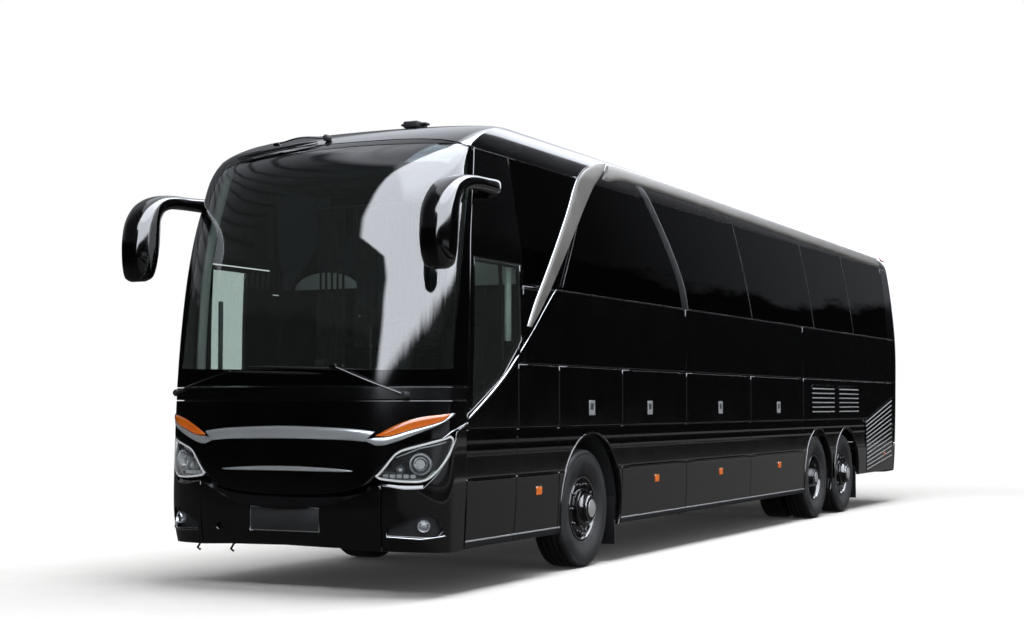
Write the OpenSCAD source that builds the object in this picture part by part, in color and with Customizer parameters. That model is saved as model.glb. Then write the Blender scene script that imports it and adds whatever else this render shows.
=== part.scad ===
// Three-axle high-deck touring coach, left-hand drive.
// Units are millimetres. +X is forward, +Y is the coach's left, +Z is up.
// The origin is on the ground, on the centre plane, at the middle of the overall length.

/* [Overall size] */
// Width of the body
body_w = 2550; // [2400:10:2600]
// Height of the roof's crown
body_h = 3840; // [3600:10:4100]
// Front axle to drive axle
wheelbase = 7150; // [6700:10:8000]
// Drive axle to tag axle
tag_spacing = 1350; // [1250:10:1600]
// Front axle to the front of the body
front_overhang = 2946; // [2900:10:3100]
// Tag axle to the back of the body
rear_overhang = 2900; // [2700:10:3300]
// How far the mirror heads stand ahead of the body
mirror_reach = 170; // [100:10:300]

/* [Body panels] */
// Thickness of a side wall, front panel or roof
wall_t = 60; // [40:5:80]
// Thickness of a door or flap
leaf_t = 40; // [30:5:50]
// Thickness of a bonded window pane
glass_t = 8; // [5:1:12]
// Thickness of the windscreen
screen_t = 14; // [10:1:20]
// Gap all round a door, flap or lid
leaf_gap = 8; // [6:1:15]
// Bottom edge of the side panels
skirt_z = 340; // [300:10:380]
// Crease line along the lower side
crease_z = 1240; // [1180:10:1300]
// How far the skirt rises from the tag wheels to the tail
tail_rise = 140; // [0:10:200]
// Top edge of the luggage flaps
flap_top_z = 1768; // [1650:10:1850]
// Bottom edge of the side windows
waist_z = 2410; // [2350:10:2500]
// Height of the roof shell above the side windows
roof_band_h = 390; // [370:10:430]
// Width of a window pillar
pillar_w = 90; // [60:10:140]

/* [Wheels] */
// Outer radius of every tyre
tyre_r = 522; // [480:2:540]
// Width of every tyre
tyre_w = 298; // [270:2:310]
// Radius of the tyre's seat on the rim
rim_r = 286; // [270:2:290]
// Centre plane of a front tyre from the coach's centre
front_track_y = 1051; // [1030:1:1060]
// Centre plane of an outer drive tyre from the coach's centre
drive_track_y = 1086; // [1070:1:1095]
// Distance between the two tyres of a twin pair
twin_spacing = 340; // [325:5:360]
// Centre plane of a tag tyre from the coach's centre
tag_track_y = 1071; // [1040:1:1080]
// Radius of a wheel arch
arch_r = 655; // [630:5:670]
// Distance of a kingpin from the coach's centre
kingpin_y = 900; // [860:5:910]
// Radius of a wheel spindle
spindle_r = 46; // [40:1:60]
// Running clearance of a spindle in its hub
spindle_clear = 0.05; // [0.02:0.01:0.1]

/* [Inside] */
// Top of the passenger deck
deck_z = 1600; // [1550:10:1650]
// Top of the cockpit floor
cockpit_z = 1020; // [950:10:1080]
// Top of the luggage hold floor
hold_z = 450; // [430:10:500]
// Distance between seat rows
seat_pitch = 780; // [720:10:860]
// Number of seat rows
seat_rows = 14; // [8:1:14]
// Width of a double seat
seat_w = 860; // [800:10:880]

/* [Doors] */
// Width of the front door
front_door_w = 930; // [800:10:950]
// Top edge of the front door
front_door_top = 2620; // [2450:10:2640]
// Width of the middle door
mid_door_w = 880; // [750:10:880]
// Reach of a door arm from its column to the door
door_arm = 480; // [400:5:500]
// Radius of a door column
column_r = 20; // [15:1:25]

/* [Hidden] */

// Colours
body_black = "#101113";
glass_dark = "#1c2226";
metal_grey = "#8d9094";
frame_grey = "#3a3d40";
rubber = "#1a1a1b";

// Places along the coach, measured from the front axle, + forward
drive_x = -wheelbase;
tag_x = -wheelbase - tag_spacing;
tail_end = -tag_x + rear_overhang;
side_front_x = front_overhang - 581;
side_rear_x = -tail_end + 160;
front_axle_x = (tail_end - front_overhang - mirror_reach) / 2;
roof_z = body_h - roof_band_h;
half_body = body_w / 2;

// Flap and door ends along the side, from the front wheel arch to the drive wheel arch
hold_front_x = -arch_r - 20;
hold_rear_x = drive_x + arch_r + 20;
hold_len = hold_front_x - hold_rear_x;
flap_x = [hold_front_x, hold_front_x - 0.29 * hold_len, hold_front_x - 0.645 * hold_len, hold_rear_x];
front_door_x = side_front_x - 110;
mid_door_x = hold_rear_x + mid_door_w + leaf_gap;
last_flap_x = mid_door_x + leaf_gap;

big = 6000;
facets = 32;

// Half width of the body at height z
function half_w(z) = half_body - lookup(z, [
  [300, 30], [500, 10], [850, 0], [1900, 0], [roof_z, 95], [body_h - 260, 135],
  [body_h - 150, 205], [body_h - 75, 320], [body_h - 25, 500], [body_h, 700]]);

// Front of the body on the centre line at height z
function nose_x(z) = front_overhang - lookup(z, [
  [300, 46], [450, 16], [650, 0], [1200, 6], [1600, 16], [2200, 61], [2800, 161],
  [3200, 301], [roof_z, 496], [body_h - 260, 736], [body_h - 150, 1096],
  [body_h - 75, 1526], [body_h - 25, 2046], [body_h, 2546]]);

// How far the front corner reaches back from the nose at height z
function nose_depth(z) = lookup(z, [
  [300, 360], [1200, 380], [2400, 430], [3000, 430], [roof_z, 340]]);

// Back of the body on the centre line at height z, as a distance behind the front axle
function tail_x(z) = tail_end - lookup(z, [
  [300, 200], [620, 150], [1590, 40], [2370, 0], [2950, 40], [roof_z, 110],
  [body_h - 150, 180], [body_h - 75, 260], [body_h, 480]]);

// Share of the corner's depth used up at a share t of the half width
function corner(t, n) = 1 - pow(1 - pow(min(t, 1), n), 1 / n);

nose_n = 2.3;
tail_n = 5;
tail_depth = 150;

// A point of the front skin: s runs from -2 (right rear edge) to 2 (left rear edge)
function nose_pt(s, z, x_edge, t) =
  let (w = half_w(z) - t, a = min(abs(s), 1), y = w * sin(90 * a),
       c = corner(y / w, nose_n), x_front = nose_x(z) - t * (1 - c) - nose_depth(z) * c,
       x = x_front + (abs(s) > 1 ? (abs(s) - 1) * (x_edge - x_front) : 0))
  [x, sign(s) * y, z];

// A point of the rear skin: s runs from -1 (right) to 1 (left)
function tail_pt(s, z, t) =
  let (w = half_w(z) - t, y = w * sin(90 * abs(s)), c = corner(y / w, tail_n))
  [-tail_x(z) + t * (1 - c) + tail_depth * c, sign(s) * y, z];

// Front edge of the side wall at height z: it leans back beside the windscreen
function front_edge(z) = side_front_x - lookup(z, [
  [1250, 0], [1600, 15], [2621, 82], [3425, 273], [3600, 320]]);

// Closed slab between two grids of points with the same rows and columns
module slab(outer, inner) {
  rows = len(outer);
  cols = len(outer[0]);
  n = rows * cols;
  points = concat([for (r = outer) for (p = r) p], [for (r = inner) for (p = r) p]);
  front = [for (i = [0:rows - 2]) for (j = [0:cols - 2])
    each [[i * cols + j, i * cols + j + 1, (i + 1) * cols + j + 1],
          [i * cols + j, (i + 1) * cols + j + 1, (i + 1) * cols + j]]];
  back = [for (f = front) [n + f[0], n + f[2], n + f[1]]];
  ends = [for (j = [0:cols - 2]) each [
    [j + 1, j, n + j], [j + 1, n + j, n + j + 1],
    [(rows - 1) * cols + j, (rows - 1) * cols + j + 1, n + (rows - 1) * cols + j + 1],
    [(rows - 1) * cols + j, n + (rows - 1) * cols + j + 1, n + (rows - 1) * cols + j]]];
  sides = [for (i = [0:rows - 2]) each [
    [i * cols, (i + 1) * cols, n + (i + 1) * cols],
    [i * cols, n + (i + 1) * cols, n + i * cols],
    [(i + 1) * cols + cols - 1, i * cols + cols - 1, n + i * cols + cols - 1],
    [(i + 1) * cols + cols - 1, n + i * cols + cols - 1, n + (i + 1) * cols + cols - 1]]];
  polyhedron(points, concat(front, back, ends, sides), convexity = 6);
}

// Front panel between a lower and an upper edge, each a height for a given half breadth y
module front_panel(steps, z_low, z_high, rows, t, x_edge) {
  grid = [for (in = [0, t]) [for (i = [0:rows]) [for (s = steps)
    let (y = half_body * sin(90 * min(abs(s), 1)), z = z_low(y) + (z_high(y) - z_low(y)) * i / rows)
    nose_pt(s, z, x_edge(z), in)]]];
  slab(grid[1], grid[0]);
}

// Rear panel between two heights
module rear_panel(z_low, z_high, rows, t) {
  steps = [for (i = [-14:14]) i / 14];
  grid = [for (in = [0, t]) [for (i = [0:rows]) [for (s = steps)
    tail_pt(s, z_low + (z_high - z_low) * i / rows, in)]]];
  slab(grid[0], grid[1]);
}

// Closed shell between two stacks of closed loops, open at the bottom
module cap_shell(outer, inner) {
  n = len(outer[0]);
  m = len(outer);
  k0 = n * m;
  skin = [for (i = [0:m - 2]) for (j = [0:n - 1]) let (k = (j + 1) % n)
    each [[i * n + j, (i + 1) * n + k, i * n + k], [i * n + j, (i + 1) * n + j, (i + 1) * n + k]]];
  lining = [for (f = skin) [k0 + f[0], k0 + f[2], k0 + f[1]]];
  rim = [for (j = [0:n - 1]) let (k = (j + 1) % n) each [[j, k, k0 + k], [j, k0 + k, k0 + j]]];
  top = [[for (j = [n - 1:-1:0]) (m - 1) * n + j], [for (j = [0:n - 1]) k0 + (m - 1) * n + j]];
  polyhedron(concat([for (l = outer) each l], [for (l = inner) each l]),
    concat(skin, lining, rim, top), convexity = 6);
}

module from_front_axle() {
  translate([front_axle_x, 0, 0]) children();
}

module on_side(side) {
  if (side > 0) children();
  else mirror([0, 1, 0]) children();
}

// Strip of the left side's cross-section, extruded along X
module side_strip(x0, x1, z0, z1, d0, d1) {
  cuts = [for (z = [500, 850, 1900, roof_z, body_h - 260, body_h - 150, body_h - 75, body_h - 25])
    if (z > z0 + 1 && z < z1 - 1) z];
  zs = concat([z0], cuts, [z1]);
  n = len(zs) - 1;
  translate([x0, 0, 0]) rotate([90, 0, 90]) linear_extrude(x1 - x0)
    polygon(concat([for (z = zs) [half_w(z) - d0, z]], [for (i = [n:-1:0]) [half_w(zs[i]) - d1, zs[i]]]));
}

// Side-view outline (x, z) as a prism through the left side only
module side_cut(outline) {
  translate([0, 1500, 0]) rotate([90, 0, 0]) linear_extrude(1500 - 600) polygon(outline);
}

function box_outline(x0, x1, z0, z1) = [[x0, z0], [x1, z0], [x1, z1], [x0, z1]];

module box(x, y, z) {
  translate([x[0], y[0], z[0]]) cube([x[1] - x[0], y[1] - y[0], z[1] - z[0]]);
}

// ---------- side walls, windows, flaps ----------

// Slanted pane edges: [x at the top, x at the waist], from the silver blade to the tail
pane_edges = [[-1440, -2355], [-4080, -4510], [-6629, -6995], [-8546, -8916]];
blade_edge = [[-45, roof_z - 10], [261, 2971], [640, waist_z]];
tail_edge = [-tail_end + 660, -tail_end + 515];

// Windows of one side as side-view outlines, shrunk on every side edge by e
function pane_outlines(e) = concat(
  [[[blade_edge[2][0] - e, waist_z + e], [blade_edge[1][0] - e, blade_edge[1][1]],
    [blade_edge[0][0] - e, roof_z - e], [pane_edges[0][0] + e, roof_z - e],
    [-1889 + e, 3100], [-2245 + e, 2700], [pane_edges[0][1] + e, waist_z + e]]],
  [[[-1889 - e, 3100], [pane_edges[0][0] - e, roof_z - e], [pane_edges[1][0] + e, roof_z - e],
    [pane_edges[1][1] + e, waist_z + e], [pane_edges[0][1] - e, waist_z + e], [-2245 - e, 2700]]],
  [for (i = [1:2]) [[pane_edges[i][1] - e, waist_z + e], [pane_edges[i][0] - e, roof_z - e],
    [pane_edges[i + 1][0] + e, roof_z - e], [pane_edges[i + 1][1] + e, waist_z + e]]],
  [[[pane_edges[3][1] - e, waist_z + e], [pane_edges[3][0] - e, roof_z - e],
    [tail_edge[0] + e, roof_z - e], [tail_edge[1] + e, waist_z + e]]]);

// Quarter window between the front pillar and the silver blade
function quarter_outline(side, e) =
  let (x_low = side > 0 ? 1386 : front_door_x - front_door_w - 25)
  [[x_low - e, 2620], [1500 - e, roof_z - e], [20 + e, roof_z - e],
    [350 + e, 2990], [760 + e, 2490], [900 + e, 2420 + e], [x_low - e, 2420 + e]];

// Driver's window, with its slanted lower edge
function driver_outline(e) = [[2230 - e, 2570 - e], [1440 + e, 2570 - e], [1440 + e, 1960 + e],
  [1780 + e, 1660 + e], [2290 - e, 1400 + 2 * e]];

module side_wall(side) {
  color(body_black) from_front_axle() on_side(side) difference() {
    side_strip(side_rear_x, side_front_x, skirt_z, roof_z, 0, wall_t);
    // the front edge leans back with the windscreen's edge
    side_cut(concat([for (z = [0, 1250, 1600, 2621, 3425, 3600]) [front_edge(z), z]],
      [[side_front_x + 50, 3600], [side_front_x + 50, 0]]));
    // the rear edge follows the tail, and the skirt rises towards it
    side_cut(concat([for (z = [0, 300, 620, 1590, 2370, 2950, roof_z, body_h])
      [-tail_x(max(z, 300)) + tail_depth + leaf_gap, z]], [[-big * 3, body_h], [-big * 3, 0]]));
    side_cut([[-big * 3, 0], [tag_x - arch_r, 0], [tag_x - arch_r, skirt_z],
      [-tail_end, skirt_z + tail_rise], [-big * 3, skirt_z + tail_rise]]);
    // wheel arches
    for (x = [0, drive_x, tag_x])
      translate([x, 600, tyre_r]) rotate([-90, 0, 0]) cylinder(r = arch_r, h = 900, $fn = 96);
    side_cut(box_outline(tag_x, drive_x, 0, tyre_r + arch_r));
    // windows, with the outer skin cut back so that the panes cover the pillars
    for (o = pane_outlines(pillar_w / 2)) side_cut(o);
    intersection() {
      side_strip(side_rear_x, side_front_x, waist_z, roof_z, -10, glass_t + 4);
      union() for (o = pane_outlines(0)) side_cut(o);
    }
    side_cut(quarter_outline(side, 0));
    if (side > 0) side_cut(driver_outline(0));
    // luggage flaps
    side_cut(box_outline(flap_x[3] - 2, flap_x[0] - 2, 0, flap_top_z));
    if (side < 0) {
      side_cut(box_outline(mid_door_x - mid_door_w, mid_door_x, 0, waist_z - 30));
      side_cut(box_outline(front_door_x - front_door_w, front_door_x, 0, front_door_top));
    }
  }
}
module side_wall_left() { side_wall(1); }
module side_wall_right() { side_wall(-1); }

module side_windows(side) {
  color(glass_dark) from_front_axle() on_side(side) {
    intersection() {
      side_strip(side_rear_x, side_front_x, waist_z, roof_z, 0, glass_t);
      union() for (o = pane_outlines(leaf_gap / 2)) side_cut(o);
    }
    intersection() {
      side_strip(side_rear_x, side_front_x, waist_z, roof_z, 0, glass_t);
      side_cut(quarter_outline(side, leaf_gap / 2));
    }
    if (side > 0) intersection() {
      side_strip(side_rear_x, side_front_x, crease_z, roof_z, 0, glass_t);
      side_cut(driver_outline(leaf_gap / 2));
    }
  }
}
module side_windows_left() { side_windows(1); }
module side_windows_right() { side_windows(-1); }

module flap(side, x_rear, x_front) {
  color(body_black) from_front_axle() on_side(side) intersection() {
    side_strip(x_rear + leaf_gap / 2 + 2, x_front - leaf_gap / 2 - 2,
      skirt_z + 10, flap_top_z - leaf_gap, 0, leaf_t);
    side_cut(box_outline(x_rear, x_front, 0, flap_top_z));
  }
}
module luggage_flap_left_1() { flap(1, flap_x[1], flap_x[0]); }
module luggage_flap_left_2() { flap(1, flap_x[2], flap_x[1]); }
module luggage_flap_left_3() { flap(1, flap_x[3], flap_x[2]); }
module luggage_flap_right_1() { flap(-1, flap_x[1], flap_x[0]); }
module luggage_flap_right_2() { flap(-1, flap_x[2], flap_x[1]); }
module luggage_flap_right_3() { flap(-1, last_flap_x - leaf_gap / 2, flap_x[2]); }

// ---------- doors ----------

front_column_x = front_door_x - 90;
mid_column_x = mid_door_x - mid_door_w + 90;
column_y = half_body - wall_t - 40;
arm_z = [760, 1560];

// Door leaf, flush with the side, with an opening for its pane
module door_leaf(x_front, w, z_top, glass) {
  difference() {
    side_strip(x_front - w + leaf_gap, x_front - leaf_gap, skirt_z + 20, z_top - leaf_gap, 0, leaf_t);
    if (len(glass) > 0) side_cut(glass);
  }
}

// Upright pin that the arm's eye turns on, joined to the leaf above and below the arm
module door_pin(x_pin) {
  for (z = arm_z) {
    translate([x_pin, column_y - door_arm * sin(3), z - 42])
      cylinder(r = 11.9, h = 84, $fn = 48);
    for (dz = [-42, 30])
      box([x_pin - 20, x_pin + 20],
        [column_y - door_arm * sin(3) - 20, half_w(z) - leaf_t + 2], [z + dz, z + dz + 12]);
  }
}

module front_door() {
  color(body_black) from_front_axle() mirror([0, 1, 0]) {
    door_leaf(front_door_x, front_door_w, front_door_top, front_glass_outline(0));
    door_pin(front_column_x - door_arm);
  }
}

function front_glass_outline(e) = box_outline(front_door_x - front_door_w + 110 + e,
  front_door_x - 110 - e, 1700 + e, front_door_top - 100 - e);

module front_door_glass() {
  color(glass_dark) from_front_axle() mirror([0, 1, 0]) intersection() {
    side_strip(front_door_x - front_door_w, front_door_x, skirt_z, roof_z, 4, 4 + glass_t);
    side_cut(front_glass_outline(0));
  }
}

module mid_door() {
  color(body_black) from_front_axle() mirror([0, 1, 0]) {
    door_leaf(mid_door_x, mid_door_w, waist_z - 30, []);
    door_pin(mid_column_x + door_arm);
  }
}

// Column with two arms, each with an eye round the door's pin
module door_arms(z_low, z_high) {
  dy = -door_arm * sin(3);
  translate([0, 0, z_low]) cylinder(r = column_r, h = z_high - z_low, $fn = 48);
  for (z = arm_z) translate([0, 0, z]) difference() {
    union() {
      rotate([0, 0, 180 + 3]) translate([0, -11, -14]) cube([door_arm, 22, 28]);
      translate([-door_arm, dy, -20]) cylinder(r = 20, h = 40, $fn = 48);
    }
    translate([-door_arm, dy, -30]) cylinder(r = 12, h = 60, $fn = 48);
  }
}
module front_door_arms() {
  color(metal_grey) from_front_axle() mirror([0, 1, 0]) translate([front_column_x, column_y, 0])
    door_arms(cockpit_z - 500, 2300);
}
module mid_door_arms() {
  color(metal_grey) from_front_axle() mirror([0, 1, 0]) translate([mid_column_x, column_y, 0])
    mirror([1, 0, 0]) door_arms(hold_z + 70, 2200);
}

// ---------- front ----------

// Gap round a headlamp
lamp_gap = 18;

// Steps across the front: close together round the corners
nose_steps = [-2, -1.5, each [for (i = [-12:12]) i / 12], 1.5, 2];

// Edges of the front panels as heights over the half breadth y
mask_low = function(y) lookup(y, [[0, 760], [240, 765], [480, 785], [670, 830], [760, 905], [800, 960],
  [855, 1000], [965, 1108], [1135, 1160], [1250, 1204], [1275, 1215]]);
bumper_high = function(y) lookup(y, [[0, 752], [240, 757], [480, 777], [670, 822], [740, 890], [775, 894],
  [855, 862], [1000, 850], [1137, 857], [1209, 922], [1250, 1010], [1267, 1060], [1275, 1207]]);
lamp_low = function(y) bumper_high(y) + lamp_gap;
lamp_high = function(y) mask_low(y) - lamp_gap;
screen_low = function(y) 1476;
mask_high = function(y) 1468;
screen_high = function(y) lookup(y, [[0, roof_z + 66], [640, roof_z + 66], [950, roof_z + 50],
  [1100, roof_z + 20], [1180, roof_z - 10], [1275, roof_z - 20]]);
bumper_low = function(y) lookup(y, [[0, 372], [850, 345], [1275, 330]]);
upper_edge_x = function(z) front_edge(z) + leaf_gap + 4;
lower_edge_x = function(z) side_front_x + leaf_gap;

module windscreen() {
  color(glass_dark) from_front_axle()
    front_panel(nose_steps, screen_low, screen_high, 12, screen_t, upper_edge_x);
}

module front_mask() {
  color(body_black) from_front_axle()
    front_panel(nose_steps, mask_low, mask_high, 5, wall_t, upper_edge_x);
}

// Place and radius of the towing eye's socket
tow_y = -620;
tow_z = 500;
tow_r = 20;

// Recess for the number plate
plate_z = 570;
plate_w = 640;
plate_h = 190;

module front_bumper() {
  color(body_black) from_front_axle() difference() {
    front_panel(nose_steps, bumper_low, bumper_high, 6, wall_t, lower_edge_x);
    // recess for the number plate, with a flat back
    box([front_overhang - 25, big], [-plate_w / 2, plate_w / 2],
      [plate_z - plate_h / 2, plate_z + plate_h / 2]);
    // way through to the towing eye's socket
    translate([0, tow_y, tow_z]) rotate([0, 90, 0]) cylinder(r = tow_r + 12, h = big, $fn = 48);
  }
}

module headlamps() {
  color("#c8ccd0") from_front_axle() for (m = [0, 1]) mirror([0, m, 0])
    front_panel([for (i = [0:12]) 0.421 + 0.47 * i / 12], lamp_low, lamp_high, 3, 90, lower_edge_x);
}

// Point that stands out from the front skin by a given lift
function glass_pt(y, z, lift) = [nose_x(z) + lift - nose_depth(z) * corner(abs(y) / half_w(z), nose_n), y, z];

// Bar of regular section along a chain of points that run mostly across the coach
module bar_chain(points, r, sides = 8) {
  n = len(points) - 1;
  loops = [for (i = [0:n]) let (v = points[min(i + 1, n)] - points[max(i - 1, 0)], along = v / norm(v),
      out = cross(along, [0, 0, 1]), a = out / norm(out), b = cross(a, along))
    [for (k = [0:sides - 1]) points[i] + r * (a * cos(360 * k / sides) + b * sin(360 * k / sides))]];
  skin = [for (i = [0:n - 1]) for (k = [0:sides - 1]) let (m = (k + 1) % sides)
    each [[i * sides + k, i * sides + m, (i + 1) * sides + m],
          [i * sides + k, (i + 1) * sides + m, (i + 1) * sides + k]]];
  ends = [[for (k = [sides - 1:-1:0]) k], [for (k = [0:sides - 1]) n * sides + k]];
  polyhedron([for (l = loops) each l], concat(skin, ends), convexity = 4);
}

// Arms and blades of the three wipers: two at the bottom, one at the top
wiper_arms = [[[-1060, 1520], [-820, 1600], [-515, 1675]],
  [[1000, 1520], [730, 1610], [444, 1710]],
  [[-70, 3480], [-250, 3475], [-450, 3440]]];
wiper_blades = [[[-515, 1672], [-230, 1668], [50, 1664], [327, 1660]],
  [[699, 1712], [444, 1722], [50, 1728], [-336, 1732]],
  [[-450, 3440], [-650, 3400], [-820, 3340]]];

module wipers() {
  color(rubber) from_front_axle() {
    // each arm comes down to its blade
    for (w = wiper_arms) bar_chain([for (i = [0:2]) glass_pt(w[i][0], w[i][1], [80, 80, 58][i])], 14);
    for (b = wiper_blades) bar_chain([for (p = b) glass_pt(p[0], p[1], 45)], 12);
    // spindle caps
    for (w = wiper_arms) translate(glass_pt(w[0][0], w[0][1], 18)) rotate([0, 90, 0])
      cylinder(r = 26, h = 80, $fn = 48);
  }
}

// Heights of the roof's loops above its lower edge, and how far the skin there faces up
roof_levels = [0, body_h - 260, body_h - 150, body_h - 75, body_h - 25, body_h];
roof_tilt = [0, 25, 50, 75, 90, 90];

// Lower edge of the roof: it rises over the windscreen at the front
function roof_low(s, is_nose) = is_nose ? screen_high(half_body * sin(90 * abs(s))) + leaf_gap : roof_z;

function roof_pt(s, is_nose, i, t) =
  let (z = i == 0 ? max(roof_z, roof_low(s, is_nose)) : roof_levels[i], in = t * cos(roof_tilt[i]),
       p = is_nose ? nose_pt(s, z, 0, in) : tail_pt(s, z, in))
  p - [0, 0, t * sin(roof_tilt[i])];

function roof_loop(i, t) = concat([for (j = [-12:12]) roof_pt(j / 12, true, i, t)],
  [for (j = [12:-1:-12]) roof_pt(j / 12, false, i, t)]);

hatch_w = 760;
hatch_x = [-1700, -8600];
hatch_span = [-hatch_w / 2 + leaf_gap, hatch_w / 2 - leaf_gap];

module roof() {
  color(body_black) from_front_axle() difference() {
    cap_shell([for (i = [0:5]) roof_loop(i, 0)], [for (i = [0:5]) roof_loop(i, wall_t)]);
    for (x = hatch_x) box([x - hatch_w / 2, x + hatch_w / 2], [-hatch_w / 2, hatch_w / 2], [roof_z, big]);
  }
}

module roof_hatch(x) {
  color("#2a2c2e") from_front_axle()
    box(hatch_span + [x, x], hatch_span, [body_h - 30, body_h + 15]);
}
module roof_hatch_front() { roof_hatch(hatch_x[0]); }
module roof_hatch_rear() { roof_hatch(hatch_x[1]); }

module roof_air_unit() {
  color("#26282a") from_front_axle()
    translate([-6300, 0, body_h]) rotate([90, 0, 90]) linear_extrude(2600)
      polygon([[-620, 0], [620, 0], [560, 30], [300, 40], [-300, 40], [-560, 30]]);
}

// ---------- rear ----------

lid_w = 1900;
lid_z = [880, 1900];
rear_glass_z = [2430, 3330];

module rear_wall() {
  color(body_black) from_front_axle() difference() {
    rear_panel(lid_z[0], roof_z - 2, 12, wall_t);
    box([-big * 3, 0], [-lid_w / 2, lid_w / 2], lid_z + [-5, 0]);
    box([-big * 3, 0], [-1010, 1010], rear_glass_z);
    for (m = [0, 1]) mirror([0, m, 0]) box([-big * 3, 0], [1045, 1215], [1000, 1700]);
  }
}

module rear_window() {
  color(glass_dark) from_front_axle() intersection() {
    rear_panel(rear_glass_z[0], rear_glass_z[1], 4, glass_t);
    box([-big * 3, 0], [-1004, 1004], rear_glass_z + [5, -5]);
  }
}

module engine_lid() {
  color(body_black) from_front_axle() intersection() {
    rear_panel(lid_z[0], lid_z[1] - leaf_gap, 4, leaf_t);
    box([-big * 3, 0], [-lid_w / 2 + leaf_gap, lid_w / 2 - leaf_gap], [0, big]);
  }
}

module rear_bumper() {
  color(body_black) from_front_axle()
    rear_panel(430, lid_z[0] - leaf_gap, 3, wall_t);
}

module tail_lamps() {
  color("#8a1515") from_front_axle() for (m = [0, 1]) mirror([0, m, 0]) intersection() {
    rear_panel(1005, 1695, 3, 50);
    box([-big * 3, 0], [1050, 1210], [0, big]);
  }
}

// ---------- mirrors ----------

module mirror_arm() {
  color(body_black) from_front_axle() {
    // arm along the roof pillar, out and forward to the head
    hull() {
      translate([1960, half_w(3070) + 2, 3130]) rotate([-90, 0, 0]) cylinder(r = 55, h = 20, $fn = facets);
      translate([2080, 1400, 3120]) sphere(r = 42, $fn = 24);
    }
    hull() {
      translate([2080, 1400, 3120]) sphere(r = 42, $fn = 24);
      translate([2740, 1410, 3050]) sphere(r = 50, $fn = 24);
    }
    hull() {
      translate([2760, 1415, 3020]) sphere(r = 60, $fn = 24);
      translate([3000, 1415, 2880]) scale([1.6, 1, 1]) sphere(r = 75, $fn = 24);
    }
    hull() {
      translate([2990, 1415, 2880]) scale([1.6, 1.2, 1]) sphere(r = 75, $fn = 24);
      translate([3010, 1415, 2490]) scale([1.3, 1.1, 1]) sphere(r = 70, $fn = 24);
    }
  }
}
module mirror_left() { mirror_arm(); }
module mirror_right() { mirror([0, 1, 0]) mirror_arm(); }

// ---------- frame, floors, hold ----------

rail_y = 400;
rail_w = 80;
bellows_r = 70;
bellows_y = rail_y + rail_w / 2 - bellows_r;

module chassis_frame() {
  high = tyre_r + 230;
  low = skirt_z + 10;
  color(frame_grey) from_front_axle() difference() {
    union() {
      for (m = [0, 1]) mirror([0, m, 0]) translate([0, rail_y + rail_w / 2, 0]) rotate([90, 0, 0])
        linear_extrude(rail_w) polygon([
          [2450, 560], [2450, 440], [790, 440], [700, high], [-660, high], [-750, low],
          [hold_rear_x - 220, low], [hold_rear_x - 310, high], [-tail_end + 250, high],
          [-tail_end + 250, high + 110], [hold_rear_x - 200, high + 110], [hold_rear_x - 110, low + 70],
          [-860, low + 70], [-770, high + 110], [810, high + 110], [900, 560]]);
      for (x = [2380, 1100]) box([x, x + 60], [-1150, 1150], [450, 550]);
      for (x = [-980, -2500, -4000, -5600]) box([x - 60, x], [-1150, 1150], [low + 5, low + 65]);
      for (x = [tag_x - 800, -tail_end + 300]) box([x, x + 60], [-1100, 1100], [high + 10, high + 100]);
    }
    // socket of the towing eye
    translate([2350, tow_y, tow_z]) rotate([0, 90, 0]) cylinder(r = tow_r, h = 200, $fn = 64);
  }
}

// Half width of a floor that stands just clear of the side walls
floor_half = half_body - wall_t - 6;
deck_t = 90;

module passenger_deck() {
  color("#4a4d50") from_front_axle() difference() {
    box([-tail_end + 250, 900], [-floor_half, floor_half], [deck_z - deck_t, deck_z]);
    box([mid_door_x - mid_door_w + 10, mid_door_x - 10], [-floor_half - 10, -330], [0, big]);
  }
}

module cockpit_floor() {
  color("#4a4d50") from_front_axle() {
    // front bulkhead, then the floor that ends at it
    box([870, 900], [-floor_half, floor_half], [cockpit_z - 60, deck_z - deck_t - 1]);
    difference() {
      box([899, 2420], [-floor_half, floor_half], [cockpit_z - 60, cockpit_z]);
      box([front_door_x - front_door_w + 10, front_door_x - 10], [-floor_half - 10, -420], [0, big]);
    }
    // front steps
    for (i = [0:1]) box([front_door_x - front_door_w + 10, front_door_x - 10],
      [-floor_half + 60 + 250 * i, -rail_y - rail_w / 2 - 10],
      [skirt_z + 110 + 230 * i, skirt_z + 150 + 230 * i]);
  }
}

module luggage_hold() {
  inner = half_w(hold_z - 30) - wall_t - 6;
  mid = [mid_door_x - mid_door_w + 10, mid_door_x - 10];
  color("#55585b") from_front_axle() {
    difference() {
      box([hold_rear_x - 100, -900], [-inner, inner], [hold_z - 30, hold_z]);
      box(mid, [-inner - 10, -330], [0, big]);
    }
    // end walls
    box([-900, -870], [-inner, inner], [hold_z, deck_z - deck_t]);
    box([hold_rear_x - 60, hold_rear_x - 30], [-inner, inner], [hold_z, deck_z - deck_t]);
    // middle stairwell
    box([mid[0] - 25, mid[0]], [-inner, -330], [hold_z, deck_z - deck_t]);
    box([mid[1], mid[1] + 25], [-inner, -330], [hold_z, deck_z - deck_t]);
    for (i = [0:3]) box(mid, [-inner + 20 + 220 * i, -330], [hold_z - 30 + 240 * i, hold_z + 240 * i]);
  }
}

module wheel_housings() {
  color("#202122") from_front_axle() for (m = [0, 1]) mirror([0, m, 0]) {
    translate([0, rail_y + rail_w / 2 + 5, tyre_r]) rotate([-90, 0, 0]) difference() {
      cylinder(r = arch_r + 25, h = half_body - wall_t - rail_y - rail_w / 2 - 15, $fn = 96);
      translate([0, 0, 20]) cylinder(r = arch_r + 5, h = big, $fn = 96);
      // way through for the front axle
      translate([-70, -80, -1]) cube([140, 160, 30]);
      translate([-big, 0, -1]) cube([2 * big, big, big]);
    }
  }
}

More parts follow.
